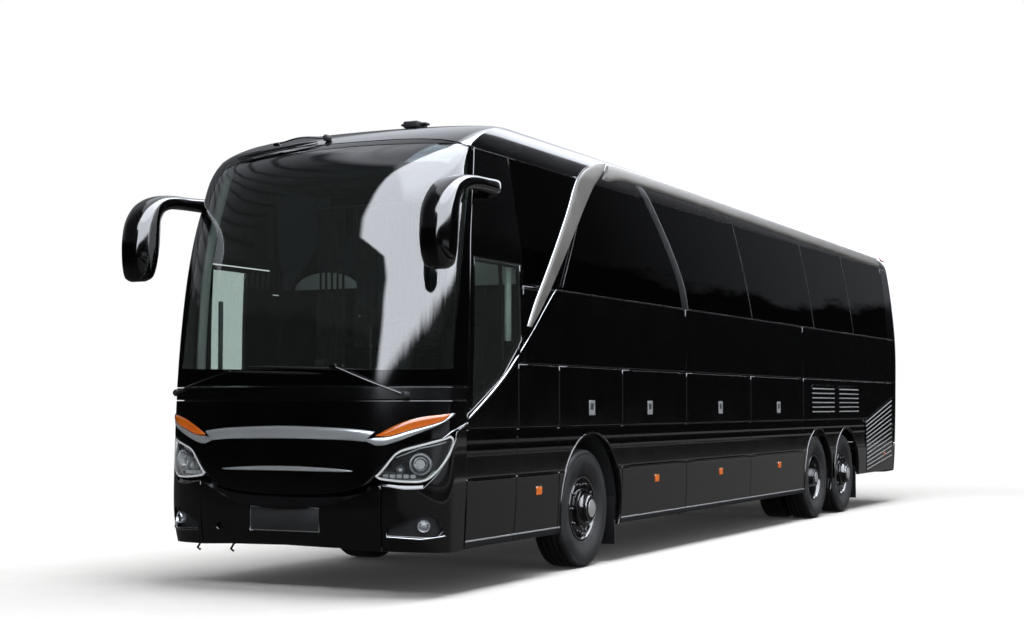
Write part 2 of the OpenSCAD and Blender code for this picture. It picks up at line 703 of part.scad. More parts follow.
// Outer ends of the spindles
front_tip_y = kingpin_y + 290;
drive_tip_y = drive_track_y + 34;
tag_tip_y = tag_track_y + 99;

module front_axle() {
  color(frame_grey) from_front_axle() {
    difference() {
      union() {
        box([-50, 50], [-kingpin_y, kingpin_y], [tyre_r - 55, tyre_r + 55]);
        for (s = [-1, 1]) translate([0, s * kingpin_y, tyre_r - 65]) cylinder(r = 50, h = 130, $fn = 64);
      }
      for (s = [-1, 1]) translate([0, s * kingpin_y, 0]) cylinder(r = 22, h = big, $fn = 64);
    }
    for (s = [-1, 1]) translate([0, s * bellows_y, tyre_r + 55]) cylinder(r = bellows_r, h = 175, $fn = 48);
  }
}

module knuckle() {
  color(metal_grey) from_front_axle() translate([0, kingpin_y, tyre_r]) {
    translate([0, 0, -100]) cylinder(r = 21.95, h = 200, $fn = 64);
    for (z = [-100, 70]) translate([0, 0, z]) {
      cylinder(r = 45, h = 30, $fn = 64);
      translate([-40, 0, 0]) cube([80, 90, 30]);
    }
    translate([-40, 56, -100]) cube([80, 34, 200]);
    translate([0, 80, 0]) rotate([-90, 0, 0])
      cylinder(r = spindle_r, h = front_tip_y - kingpin_y - 80, $fn = 64);
  }
}
module front_left_knuckle() { knuckle(); }
module front_right_knuckle() { mirror([0, 1, 0]) knuckle(); }

module live_axle(x, tip_y) {
  color(frame_grey) from_front_axle() translate([x, 0, tyre_r]) {
    translate([0, -tip_y, 0]) rotate([-90, 0, 0]) cylinder(r = spindle_r, h = 2 * tip_y, $fn = 64);
    translate([0, -560, 0]) rotate([-90, 0, 0]) cylinder(r = 75, h = 1120, $fn = 64);
    for (s = [-1, 1]) translate([0, s * bellows_y, 60]) cylinder(r = bellows_r, h = 170, $fn = 48);
  }
}
module drive_axle() {
  live_axle(drive_x, drive_tip_y);
  color(frame_grey) from_front_axle() translate([drive_x, 0, tyre_r]) sphere(r = 190, $fn = 48);
}
module tag_axle() { live_axle(tag_x, tag_tip_y); }

// ---------- wheels ----------

module about_y(x, y) {
  from_front_axle() translate([x, y, tyre_r]) rotate([-90, 0, 0]) children();
}

module tyre_ring() {
  h = tyre_w / 2;
  rotate_extrude($fn = 96) polygon([
    [rim_r, -h + 40], [rim_r + 18, -h + 26], [rim_r + 100, -h], [tyre_r - 75, -h + 1], [tyre_r - 30, -h + 9],
    [tyre_r - 8, -h + 20], [tyre_r, -h + 34], [tyre_r, h - 34], [tyre_r - 8, h - 20], [tyre_r - 30, h - 9],
    [tyre_r - 75, h - 1], [rim_r + 100, h], [rim_r + 18, h - 26], [rim_r, h - 40]]);
}

// Single wheel: barrel, disc near the outer face and a hub that stands proud
module single_rim(bore_end) {
  h = tyre_w / 2 - 40;
  rotate_extrude($fn = 96) polygon([
    [rim_r, -h], [rim_r, h], [rim_r - 6, h + 10], [rim_r - 18, h + 10], [rim_r - 34, h - 26], [190, h - 2],
    [150, h - 2], [140, tyre_w / 2 + 10], [118, tyre_w / 2 + 16],
    [105, tyre_w / 2 + 60], [0, tyre_w / 2 + 66],
    [0, bore_end + 6], [spindle_r + spindle_clear, bore_end + 6], [spindle_r + spindle_clear, 20], [130, 20],
    [140, h - 24], [200, h - 24], [rim_r - 44, h - 46], [rim_r - 16, h - 66], [rim_r - 16, -h + 20],
    [rim_r - 10, -h]]);
}

// Outer wheel of a twin pair: the disc lies inboard, the hub reaches out through it
module twin_rims(bore_end) {
  h = tyre_w / 2 - 40;
  d = twin_spacing / 2;
  rotate_extrude($fn = 96) polygon([
    [rim_r, h], [rim_r - 6, h + 10], [rim_r - 18, h + 10], [rim_r - 30, h - 20], [rim_r - 36, -h + 10],
    [230, -d + 14], [150, -d + 14], [140, 20], [118, 60], [105, tyre_w / 2 - 4], [0, tyre_w / 2],
    [0, bore_end + 6], [spindle_r + spindle_clear, bore_end + 6], [spindle_r + spindle_clear, -d - 60],
    [120, -d - 60], [130, -d - 14], [230, -d - 14], [rim_r - 36, -twin_spacing + h - 10],
    [rim_r - 30, -twin_spacing - h + 20], [rim_r - 12, -twin_spacing - h], [rim_r, -twin_spacing - h],
    [rim_r, -twin_spacing + h], [rim_r - 24, -twin_spacing + h + 6], [242, -d], [rim_r - 24, -h - 6],
    [rim_r, -h]]);
}

module front_left_tyre() { color(rubber) about_y(0, front_track_y) tyre_ring(); }
module front_right_tyre() { mirror([0, 1, 0]) front_left_tyre(); }
module front_left_rim() {
  color(body_black) about_y(0, front_track_y) single_rim(front_tip_y - front_track_y);
}
module front_right_rim() { mirror([0, 1, 0]) front_left_rim(); }
module drive_left_tyres() {
  color(rubber) for (y = [0, twin_spacing]) about_y(drive_x, drive_track_y - y) tyre_ring();
}
module drive_right_tyres() { mirror([0, 1, 0]) drive_left_tyres(); }
module drive_left_rims() {
  color(body_black) about_y(drive_x, drive_track_y) twin_rims(drive_tip_y - drive_track_y);
}
module drive_right_rims() { mirror([0, 1, 0]) drive_left_rims(); }
module tag_left_tyre() { color(rubber) about_y(tag_x, tag_track_y) tyre_ring(); }
module tag_right_tyre() { mirror([0, 1, 0]) tag_left_tyre(); }
module tag_left_rim() { color(body_black) about_y(tag_x, tag_track_y) single_rim(tag_tip_y - tag_track_y); }
module tag_right_rim() { mirror([0, 1, 0]) tag_left_rim(); }

// ---------- inside ----------

driver_y = 640;
wheel_centre = [2080, driver_y, 1990];
column_tilt = 28;

module dashboard() {
  color("#2b2d2f") from_front_axle() {
    translate([0, 1080, 0]) rotate([90, 0, 0]) linear_extrude(1080 + 330) polygon([
      [2240, cockpit_z], [2240, 1640], [2330, 1700], [2430, 1640], [2560, 1500], [2560, cockpit_z]]);
    // steering column
    translate(wheel_centre) rotate([0, -column_tilt, 0]) translate([0, 0, -420])
      cylinder(r = 35, h = 380, $fn = 32);
  }
}

module steering_wheel() {
  color("#151515") from_front_axle() translate(wheel_centre) rotate([0, -column_tilt, 0]) {
    rotate_extrude($fn = 64) translate([225, 0]) circle(r = 14, $fn = 24);
    translate([0, 0, -30]) cylinder(r = 60, h = 30, $fn = 48);
    for (a = [0, 120, 240]) rotate([0, 0, a]) translate([0, -15, -18]) cube([216, 30, 12]);
  }
}

module driver_seat() {
  color("#2a2d31") from_front_axle() {
    box([1240, 1700], [driver_y - 240, driver_y + 240], [1400, 1520]);
    translate([1240, driver_y - 235, 1480]) rotate([0, -10, 0]) cube([110, 470, 760]);
    box([1330, 1600], [driver_y - 160, driver_y + 160], [cockpit_z, 1400]);
  }
}

module seat_pair() {
  inner = half_w(deck_z + 1150) - wall_t - 20;
  translate([0, inner, deck_z]) rotate([90, 0, 0]) linear_extrude(seat_w) polygon([
    [0, 330], [430, 360], [450, 460], [110, 440], [-40, 1150], [-130, 1150], [-60, 330]]);
  translate([0, inner - seat_w / 2 - 30, deck_z]) cube([300, 60, 332]);
}

module passenger_seats() {
  color("#33363b") from_front_axle() for (i = [0:seat_rows - 1]) {
    x = 380 - seat_pitch * i;
    seat_pair_at(x, 1);
    if (x + 480 < mid_door_x - mid_door_w || x - 140 > mid_door_x) seat_pair_at(x, -1);
  }
}
module seat_pair_at(x, side) {
  translate([x, 0, 0]) on_side(side) seat_pair();
}

module luggage_racks() {
  color("#b9bbbd") from_front_axle() for (m = [0, 1]) mirror([0, m, 0])
    translate([-tail_end + 500, 0, 0]) rotate([90, 0, 90]) linear_extrude(tail_end - 500 + 600) polygon([
      [740, roof_z - 250], [1000, roof_z - 330], [half_w(roof_z - 300) - wall_t - 20, roof_z - 260],
      [half_w(roof_z) - wall_t - 20, roof_z - 20], [800, roof_z + 40]]);
}

module engine() {
  color("#4b4f52") from_front_axle()
    box([-tail_end + 330, tag_x - 860], [-380, 380], [tyre_r + 350, 1470]);
}

chassis_frame();
passenger_deck();
cockpit_floor();
luggage_hold();
wheel_housings();
side_wall_left();
side_wall_right();
roof();
front_mask();
front_bumper();
rear_wall();
rear_bumper();
windscreen();
side_windows_left();
side_windows_right();
rear_window();
roof_hatch_front();
roof_hatch_rear();
roof_air_unit();
mirror_left();
mirror_right();
headlamps();
tail_lamps();
wipers();
dashboard();
steering_wheel();
driver_seat();
passenger_seats();
luggage_racks();
engine();
front_axle();
drive_axle();
tag_axle();
front_left_knuckle();
front_right_knuckle();
front_left_tyre();
front_left_rim();
front_right_tyre();
front_right_rim();
drive_left_tyres();
drive_left_rims();
drive_right_tyres();
drive_right_rims();
tag_left_tyre();
tag_left_rim();
tag_right_tyre();
tag_right_rim();
front_door();
front_door_glass();
front_door_arms();
mid_door();
mid_door_arms();
luggage_flap_left_1();
luggage_flap_left_2();
luggage_flap_left_3();
luggage_flap_right_1();
luggage_flap_right_2();
luggage_flap_right_3();
engine_lid();
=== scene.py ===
import math

import bmesh
import bpy
import numpy as np
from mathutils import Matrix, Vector
from mathutils.geometry import delaunay_2d_cdt


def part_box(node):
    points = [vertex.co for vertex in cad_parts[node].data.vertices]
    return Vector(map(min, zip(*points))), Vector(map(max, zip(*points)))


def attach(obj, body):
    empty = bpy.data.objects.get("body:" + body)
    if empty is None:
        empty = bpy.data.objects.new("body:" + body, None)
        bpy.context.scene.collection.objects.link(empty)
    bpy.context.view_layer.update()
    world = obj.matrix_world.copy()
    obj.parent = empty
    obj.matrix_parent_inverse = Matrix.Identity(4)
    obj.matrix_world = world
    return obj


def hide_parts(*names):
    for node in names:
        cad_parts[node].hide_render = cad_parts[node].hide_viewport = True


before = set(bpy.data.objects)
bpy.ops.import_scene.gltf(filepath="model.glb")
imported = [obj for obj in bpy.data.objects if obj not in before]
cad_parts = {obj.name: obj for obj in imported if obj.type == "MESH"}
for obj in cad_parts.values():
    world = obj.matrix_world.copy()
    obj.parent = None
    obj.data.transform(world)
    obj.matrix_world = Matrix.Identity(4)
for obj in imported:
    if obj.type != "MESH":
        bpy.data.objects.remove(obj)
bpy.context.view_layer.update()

# Everything below is written in metres from the front axle, + forward; the frame's zero is elsewhere
axle_low, axle_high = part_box("front_left_tyre")
AXLE_X = (axle_low.x + axle_high.x) / 2
LEFT, RIGHT = 1, -1


# ---------- lines and skins ----------

class Curve:
    """Smooth curve through (x, y) points that never overshoots them."""

    def __init__(self, points):
        self.x, self.y = np.array(points, float).T
        self.h = np.diff(self.x)
        slope = np.diff(self.y) / self.h
        self.m = np.concatenate([slope[:1], np.zeros(len(slope) - 1), slope[-1:]])
        for i in range(1, len(slope)):
            if slope[i - 1] * slope[i] > 0:
                a, b = 2 * self.h[i] + self.h[i - 1], self.h[i] + 2 * self.h[i - 1]
                self.m[i] = (a + b) / (a / slope[i - 1] + b / slope[i])

    def __call__(self, v):
        v = np.clip(v, self.x[0], self.x[-1])
        i = np.clip(np.searchsorted(self.x, v, "right") - 1, 0, len(self.h) - 1)
        h, t = self.h[i], (v - self.x[i]) / self.h[i]
        return ((1 + 2 * t) * (1 - t) ** 2 * self.y[i] + t * (1 - t) ** 2 * h * self.m[i]
                + t * t * (3 - 2 * t) * self.y[i + 1] + t * t * (t - 1) * h * self.m[i + 1])


# Sections of the body, over the height z
half_w = Curve([(.30, 1.245), (.50, 1.265), (.85, 1.275), (1.90, 1.275), (3.45, 1.180), (3.58, 1.140),
                (3.69, 1.070), (3.765, .955), (3.815, .775), (3.84, .575)])
nose_x = Curve([(.30, 2.900), (.45, 2.930), (.65, 2.946), (1.20, 2.940), (1.60, 2.930), (2.20, 2.885),
                (2.80, 2.785), (3.20, 2.645), (3.45, 2.450), (3.58, 2.210), (3.69, 1.850),
                (3.765, 1.420), (3.815, .900), (3.84, .400)])
nose_depth = Curve([(.3, .36), (1.2, .38), (2.4, .43), (3.0, .43), (3.45, .34), (3.84, .34)])
tail_x = Curve([(.30, -11.20), (.62, -11.25), (1.59, -11.36), (2.37, -11.40), (2.95, -11.36),
                (3.45, -11.29), (3.69, -11.22), (3.765, -11.14), (3.84, -10.92)])
NOSE_POWER, TAIL_POWER, TAIL_DEPTH = 2.3, 5, .15
ROUND = 1.45  # the nose's own measure at the end of its rounded corner


def across(points):
    return np.stack(points, -1)


def nose_place(u, z):
    w = half_w(z)
    y = w * np.sin(np.clip(np.abs(u) / ROUND, 0, 1) * np.pi / 2)
    t = np.clip(y / w, 0, 1)
    used = 1 - (1 - t ** NOSE_POWER) ** (1 / NOSE_POWER)
    x = nose_x(z) - nose_depth(z) * used - np.maximum(np.abs(u) - ROUND, 0)
    return across([x, np.sign(u) * y, z + 0 * u])


def side_place(x, z):
    c = np.clip((nose_x(z) - x) / nose_depth(z), 0, 1)
    e = np.clip((x - tail_x(z)) / TAIL_DEPTH, 0, 1)
    t = (1 - (1 - c) ** NOSE_POWER) ** (1 / NOSE_POWER) * (1 - (1 - e) ** TAIL_POWER) ** (1 / TAIL_POWER)
    return across([x + 0 * z, half_w(z) * t, z + 0 * x])


# The rear corner by its own length: breadth and depth used up
tail_t = 1 - np.linspace(1, 0, 4000) ** 3
tail_c = 1 - (1 - tail_t ** TAIL_POWER) ** (1 / TAIL_POWER)
tail_s = np.concatenate([[0], np.cumsum(np.hypot(np.diff(tail_t) * 1.25, np.diff(tail_c) * TAIL_DEPTH))])
TAIL_ROUND = tail_s[-1]


def tail_place(u, z):
    t, c = np.interp(np.abs(u), tail_s, tail_t), np.interp(np.abs(u), tail_s, tail_c)
    return across([tail_x(z) + TAIL_DEPTH * c, np.sign(u) * half_w(z) * t, z + 0 * u])


class Skin:
    """A surface with two measures of its own. side is 1 where they turn right-handed seen from outside."""

    def __init__(self, place, side):
        self.place, self.side = place, side

    def normal(self, u, v):
        e = .0008
        a = self.place(u + e, v) - self.place(u - e, v)
        b = self.place(u, v + e) - self.place(u, v - e)
        n = np.cross(a, b) * self.side
        return n / np.maximum(np.linalg.norm(n, axis=-1, keepdims=True), 1e-12)

    def raised(self, lift):
        """The same skin, lifted by a number or by a function of its two measures."""
        rise = lift if callable(lift) else lambda u, v: lift + 0 * u
        return Skin(lambda u, v: self.place(u, v) + self.normal(u, v) * rise(u, v)[..., None], self.side)


nose, side, tail = Skin(nose_place, 1), Skin(side_place, -1), Skin(tail_place, -1)


def nose_u(y, z):
    """The nose's own measure at half breadth y."""
    return np.sign(y) * ROUND * 2 / np.pi * np.arcsin(np.clip(np.abs(y) / half_w(z), 0, 1))


def nose_at_x(x, z):
    """The nose's own measure, on the left, where the skin is x forward of the front axle."""
    c = np.clip((nose_x(z) - x) / nose_depth(z), 0, 1)
    t = (1 - (1 - c) ** NOSE_POWER) ** (1 / NOSE_POWER)
    beyond = np.maximum(nose_x(z) - nose_depth(z) - x, 0)
    return ROUND * 2 / np.pi * np.arcsin(t) + beyond


def spline(points, step=.03):
    """Smooth line through points, in short steps."""
    p = np.array(points, float)
    p = np.vstack([2 * p[0] - p[1], p, 2 * p[-1] - p[-2]])
    out = []
    for a, b, c, d in zip(p, p[1:], p[2:], p[3:]):
        n = max(2, int(np.linalg.norm(c - b) / step))
        t = np.linspace(0, 1, n, endpoint=False)[:, None]
        out.append(.5 * (2 * b + (c - a) * t + (2 * a - 5 * b + 4 * c - d) * t ** 2
                         + (3 * b - a - 3 * c + d) * t ** 3))
    return np.vstack(out + [p[-2:-1]])


def chain(*runs):
    """One outline from runs of points."""
    return np.vstack([np.array(r, float).reshape(-1, 2) for r in runs])


def rect(x0, x1, z0, z1):
    return chain([(x0, z0), (x1, z0), (x1, z1), (x0, z1)])


def resample(points, n):
    p = np.array(points, float)
    s = np.concatenate([[0], np.cumsum(np.linalg.norm(np.diff(p, axis=0), axis=1))])
    t = np.linspace(0, s[-1], n)
    return np.stack([np.interp(t, s, p[:, k]) for k in range(p.shape[1])], 1)


def shrunk(loop, by):
    """The outline moved inwards by a margin."""
    p = np.array(loop, float)
    if np.sum(p[:, 0] * np.roll(p[:, 1], -1) - np.roll(p[:, 0], -1) * p[:, 1]) < 0:
        p = p[::-1]
    return p + mitres(p) * by


def mitres(p):
    """For each corner of an anticlockwise outline, the way to its inside."""
    run = np.roll(p, -1, 0) - p
    run /= np.maximum(np.linalg.norm(run, axis=1, keepdims=True), 1e-9)
    n = np.stack([-run[:, 1], run[:, 0]], 1)
    before = np.roll(n, 1, 0)
    return (n + before) / np.maximum(1 + np.sum(n * before, 1, keepdims=True), .35)


# ---------- shapes: points, faces, and a normal for each face corner (or None) ----------

def dense(loop, cell):
    """The outline with no step longer than a cell."""
    out = []
    for a, b in zip(loop, np.roll(loop, -1, 0)):
        n = max(1, math.ceil(np.max(np.abs(b - a) / cell) - 1e-6))
        if np.linalg.norm(b - a) > 1e-5:
            out.append(a + (b - a) * np.arange(n)[:, None] / n)
    return np.vstack(out)


def inside(points, loops):
    hit = np.zeros(len(points), bool)
    for loop in loops:
        for (x0, y0), (x1, y1) in zip(loop, np.roll(loop, -1, 0)):
            if y0 != y1:
                hit ^= (((y0 > points[:, 1]) != (y1 > points[:, 1]))
                        & (points[:, 0] < (x1 - x0) * (points[:, 1] - y0) / (y1 - y0) + x0))
    return hit


def panel(skin, outline, holes=(), depth=.03, roll=.004, cell=(.12, .06)):
    """Closed panel that follows a skin, with a rolled edge: an outline and holes in the skin's measures."""
    cell = np.array(cell)
    loops = []
    for k, loop in enumerate([outline, *holes]):
        loop = dense(np.array(loop, float), cell)
        turn = np.sum(loop[:, 0] * np.roll(loop[:, 1], -1) - np.roll(loop[:, 0], -1) * loop[:, 1])
        loops.append(loop if (turn > 0) == (k == 0) else loop[::-1])
    edge = np.vstack(loops)
    inward = np.vstack([mitres(loop) for loop in loops])
    firsts = np.cumsum([0] + [len(loop) for loop in loops])
    size = len(edge)
    following = np.concatenate([np.roll(np.arange(a, b), -1) for a, b in zip(firsts, firsts[1:])])
    angles = np.radians([0, 30, 60, 90]) if roll else np.zeros(1)
    rim = edge + inward * roll
    rims = [rim[a:b] for a, b in zip(firsts, firsts[1:])]
    # points inside the outline, away from its edge
    lo, hi = rim.min(0), rim.max(0)
    counts = np.maximum(np.ceil((hi - lo) / cell).astype(int), 1)
    grid = np.stack(np.meshgrid(*[np.linspace(a, b, n + 1)[1:-1] for a, b, n in zip(lo, hi, counts)],
                                indexing="ij"), -1).reshape(-1, 2)
    if len(grid):
        grid = grid[inside(grid, rims)]
    if len(grid):
        away = np.full(len(grid), 9.)
        for p in rim:
            away = np.minimum(away, np.max(np.abs(grid - p) / cell, 1))
        grid = grid[away > .55]
    flat = np.vstack([rim, grid]) if len(grid) else rim
    found = delaunay_2d_cdt([Vector(p) for p in flat / cell], list(zip(range(size), following.tolist())),
                            [], 0, 1e-7)
    origin = [o[0] if o else -1 for o in found[3]]
    tris = np.array([[origin[i] for i in f] for f in found[2]])
    tris = tris[(tris >= 0).all(1)]
    tris = tris[inside(flat[tris].mean(1), rims)]
    a, b, c = (flat[tris[:, k]] for k in range(3))
    turn = (b - a)[:, 0] * (c - a)[:, 1] - (b - a)[:, 1] * (c - a)[:, 0]
    tris[turn < 0] = tris[turn < 0][:, ::-1]
    tris = tris[np.abs(turn) > 1e-12]

    def on(uv, drop):
        n = skin.normal(uv[:, 0], uv[:, 1])
        return skin.place(uv[:, 0], uv[:, 1]) - n * drop, n

    front, front_n = on(flat, 0)
    back, _ = on(flat, depth)
    outer, outer_n = on(edge, 0)
    away = outer - on(rim if roll else edge + inward * .001, 0)[0]
    away -= outer_n * np.sum(away * outer_n, 1, keepdims=True)
    away /= np.maximum(np.linalg.norm(away, axis=1, keepdims=True), 1e-12)
    points, rings, ring_n = [front], [np.arange(size)], [front_n[:size]]
    start = len(front)
    for t in angles[1:]:
        place, n = on(edge + inward * roll * (1 - math.sin(t)), roll * (1 - math.cos(t)))
        points.append(place)
        rings.append(start + np.arange(size))
        ring_n.append(n * math.cos(t) + away * math.sin(t))
        start += size
    points.append(on(edge, depth)[0])
    wall = start + np.arange(size)
    start += size
    points.append(back)
    here, there = np.arange(size), following
    quads, normals = [], []

    def band(upper, lower, upper_n, lower_n):
        quads.append(np.stack([lower[here], lower[there], upper[there], upper[here]], 1))
        normals.append(np.stack([lower_n[here], lower_n[there], upper_n[there], upper_n[here]], 1))

    for k in range(len(rings) - 1):
        band(rings[k], rings[k + 1], ring_n[k], ring_n[k + 1])
    band(rings[-1], wall, away, away)
    band(wall, start + np.arange(size), -outer_n, -outer_n)
    quads, normals = np.vstack(quads), np.vstack(normals)
    faces = quads.tolist() + tris.tolist() + (tris[:, ::-1] + start).tolist()
    corner = [normals.reshape(-1, 3), front_n[tris].reshape(-1, 3), -front_n[tris[:, ::-1]].reshape(-1, 3)]
    if skin.side < 0:
        faces = [f[::-1] for f in faces]
        corner = [normals[:, ::-1].reshape(-1, 3), front_n[tris[:, ::-1]].reshape(-1, 3),
                  -front_n[tris].reshape(-1, 3)]
    return np.vstack(points), faces, np.vstack(corner)


def between(skin, a, b, share, high, low):
    """Closed band between two edges on a skin, high and low above it at each share of the way across."""
    uv = a[:, None] * (1 - share)[None, :, None] + b[:, None] * share[None, :, None]
    u, v = uv[..., 0].ravel(), uv[..., 1].ravel()
    place, n = skin.place(u, v), skin.normal(u, v)
    cols, count = len(share), len(a)
    ring = np.concatenate([np.arange(cols), count * cols + np.arange(cols)[::-1]])
    rings = ring[None, :] + np.arange(count)[:, None] * cols
    return joined_rings(np.vstack([place + n * high[:, None], place + n * low[:, None]]), rings, True)


def strip(skin, edge_a, edge_b, rise=.006, foot=.004, count=60, steps=8, flat=.5):
    """Domed trim between two edges on a skin, both run the same way. flat is how square its section is."""
    a, b = resample(edge_a, count), resample(edge_b, count)
    share = np.linspace(0, 1, steps + 1)
    height = rise * np.clip(1 - np.abs(2 * share - 1) ** (2 / flat), 0, 1) ** .5
    width = np.linalg.norm(skin.place(a[:, 0], a[:, 1]) - skin.place(b[:, 0], b[:, 1]), axis=1)
    high = (height[None, :] * np.minimum(1, width / (3 * rise + 1e-9))[:, None]).ravel()
    return between(skin, a, b, share, high, np.full(len(high), -foot))


def facet(skin, edge_a, edge_b, drop_a, drop_b, foot=.03, count=80, steps=6):
    """Flat sloping face between two edges on a skin, sunk by drop_a along one and drop_b along the other."""
    share = np.linspace(0, 1, steps + 1)
    sunk = np.tile(drop_a * (1 - share) + drop_b * share, count)
    return between(skin, resample(edge_a, count), resample(edge_b, count), share, -sunk, -sunk - foot)


def joined_rings(points, rings, ends):
    """Closed skin over rings of point numbers, turned to face outwards."""
    rings = np.array(rings)
    nxt = np.roll(rings, -1, 1)
    quads = np.stack([rings[:-1], nxt[:-1], nxt[1:], rings[1:]], -1).reshape(-1, 4)
    faces = quads.tolist()
    if ends:
        faces += [rings[0][::-1].tolist(), rings[-1].tolist()]
    volume = 0
    for f in faces:
        o = points[f[0]]
        for i in range(1, len(f) - 1):
            volume += np.dot(o, np.cross(points[f[i]], points[f[i + 1]]))
    if volume < 0:
        faces = [f[::-1] for f in faces]
    return points, faces, None


def loft(rings, ends=True):
    """Closed skin over rings of points."""
    rings = np.array(rings, float)
    m, n = rings.shape[:2]
    return joined_rings(rings.reshape(-1, 3), np.arange(m * n).reshape(m, n), ends)


def tube(path, radius, sides=12, squash=1.):
    """Round bar along a path; the radius may differ from point to point."""
    path = np.array(path, float)
    radius = np.broadcast_to(radius, len(path))
    along = np.gradient(path, axis=0)
    along /= np.linalg.norm(along, axis=1, keepdims=True)
    side_way = np.cross(along[0], [0, 0, 1.])
    if np.linalg.norm(side_way) < .1:
        side_way = np.cross(along[0], [0, 1., 0])
    rings = []
    for p, d, r in zip(path, along, radius):
        side_way = side_way - d * np.dot(side_way, d)
        side_way /= np.linalg.norm(side_way)
        up = np.cross(d, side_way)
        t = np.linspace(0, 2 * np.pi, sides, endpoint=False)[:, None]
        rings.append(p + r * (side_way * np.cos(t) + up * np.sin(t) * squash))
    return loft(rings)


def lathe(profile, segments=64, wave=None):
    """Turned shape about Y: a closed profile of (radius, y). wave(angle, radius, y) changes the radius."""
    profile = np.array(profile, float)
    angle = np.linspace(0, 2 * np.pi, segments, endpoint=False)
    n = len(profile)
    r = np.broadcast_to(profile[:, 0], (segments, n)).copy()
    y = np.broadcast_to(profile[:, 1], (segments, n))
    if wave:
        r = wave(angle[:, None], r, y)
    points = np.stack([r * np.cos(angle)[:, None], y, r * np.sin(angle)[:, None]], -1).reshape(-1, 3)
    i = np.arange(segments * n).reshape(segments, n)
    j = np.roll(i, -1, 0)
    quads = np.stack([i, np.roll(i, -1, 1), np.roll(j, -1, 1), j], -1).reshape(-1, 4)
    area = np.sum(profile[:, 0] * np.roll(profile[:, 1], -1) - np.roll(profile[:, 0], -1) * profile[:, 1])
    faces = quads.tolist() if area < 0 else quads[:, ::-1].tolist()
    return points, faces, None


def block(low, high, bevel=.004, segments=2):
    """Block with rounded edges."""
    low, high = np.minimum(low, high), np.maximum(low, high)
    bm = bmesh.new()
    bmesh.ops.create_cube(bm, size=1)
    for v in bm.verts:
        v.co = Vector((low + high) / 2 + np.array(v.co) * (high - low))
    bmesh.ops.bevel(bm, geom=bm.edges[:], offset=bevel, segments=segments, affect="EDGES", profile=.5)
    points = np.array([v.co for v in bm.verts])
    faces = [[v.index for v in f.verts] for f in bm.faces]
    bm.free()
    return points, faces, None


def prism(outline, low, high, axis=1, bevel=.004):
    """Solid with a flat outline in the other two axes, between two places along one axis."""
    order = {0: (1, 2), 1: (0, 2), 2: (0, 1)}[axis]
    p = np.array(outline, float)
    rings = []
    for place, margin in ((low, bevel), (low + bevel, 0), (high - bevel, 0), (high, bevel)):
        loop = shrunk(p, margin)
        ring = np.zeros((len(loop), 3))
        ring[:, order[0]], ring[:, order[1]], ring[:, axis] = loop[:, 0], loop[:, 1], place
        rings.append(ring)
    return loft(rings)


def moved(shape, turn=None, by=(0, 0, 0)):
    """A shape turned by a 3 x 3 matrix and moved."""
    points, faces, normals = shape
    if turn is not None:
        turn = np.array(turn)
        points = points @ turn.T
        normals = None if normals is None else normals @ turn.T
    return points + np.array(by, float), faces, normals


def mirrored(shape):
    points, faces, normals = shape
    flip = np.array([1, -1, 1])
    if normals is not None:
        starts = np.cumsum([0] + [len(f) for f in faces])
        order = np.concatenate([np.arange(b - 1, a - 1, -1) for a, b in zip(starts, starts[1:])])
        normals = (normals * flip)[order]
    return points * flip, [f[::-1] for f in faces], normals


def about(axis, degrees):
    c, s = math.cos(math.radians(degrees)), math.sin(math.radians(degrees))
    return {"x": [[1, 0, 0], [0, c, -s], [0, s, c]], "y": [[c, 0, s], [0, 1, 0], [-s, 0, c]],
            "z": [[c, -s, 0], [s, c, 0], [0, 0, 1]]}[axis]


class Piece:
    """One piece of the coach, gathered shape by shape, each with its finish."""

    def __init__(self, name, body="coach_body", replaces=(), slot=None):
        self.name, self.body, self.replaces, self.slot = name, body, replaces, slot
        self.points, self.faces, self.normals, self.finishes, self.finish_of = [], [], [], [], []
        self.count = 0

    def add(self, shape, finish, mirror=False):
        points, faces, normals = mirrored(shape) if mirror else shape
        if finish not in self.finishes:
            self.finishes.append(finish)
        corners = sum(len(f) for f in faces)
        self.points.append(points)
        self.faces += [[i + self.count for i in f] for f in faces]
        self.normals.append(np.full((corners, 3), np.nan) if normals is None else normals)
        self.finish_of += [self.finishes.index(finish)] * len(faces)
        self.count += len(points)
        return self

    def both(self, shape, finish):
        """The shape on the left and its mirror image on the right."""
        return self.add(shape, finish).add(shape, finish, True)

    def made(self, sharp=32, x=AXLE_X):
        mesh = bpy.data.meshes.new(self.name)
        mesh.from_pydata((np.vstack(self.points) + [x, 0, 0]).tolist(), [], self.faces)
        mesh.polygons.foreach_set("material_index", self.finish_of)
        mesh.polygons.foreach_set("use_smooth", [True] * len(self.faces))
        for m in self.finishes:
            mesh.materials.append(m)
        mesh.set_sharp_from_angle(angle=math.radians(sharp))
        given = np.vstack(self.normals)
        if not np.isnan(given).all():
            own = np.zeros(len(mesh.loops) * 3, np.float32)
            mesh.corner_normals.foreach_get("vector", own)
            own = own.reshape(-1, 3)
            mesh.normals_split_custom_set(np.where(np.isnan(given), own, given).tolist())
        obj = bpy.data.objects.new(self.name, mesh)
        bpy.context.scene.collection.objects.link(obj)
        return place_on(obj, self.body, self.replaces)


def place_on(obj, body, replaces=()):
    if replaces:
        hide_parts(*replaces)
    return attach(obj, body)


# ---------- finishes ----------

def rgb(code):
    """sRGB hex to a linear colour."""
    parts = [int(code[i:i + 2], 16) / 255 for i in (1, 3, 5)]
    return [c / 12.92 if c <= .04045 else ((c + .055) / 1.055) ** 2.4 for c in parts] + [1]


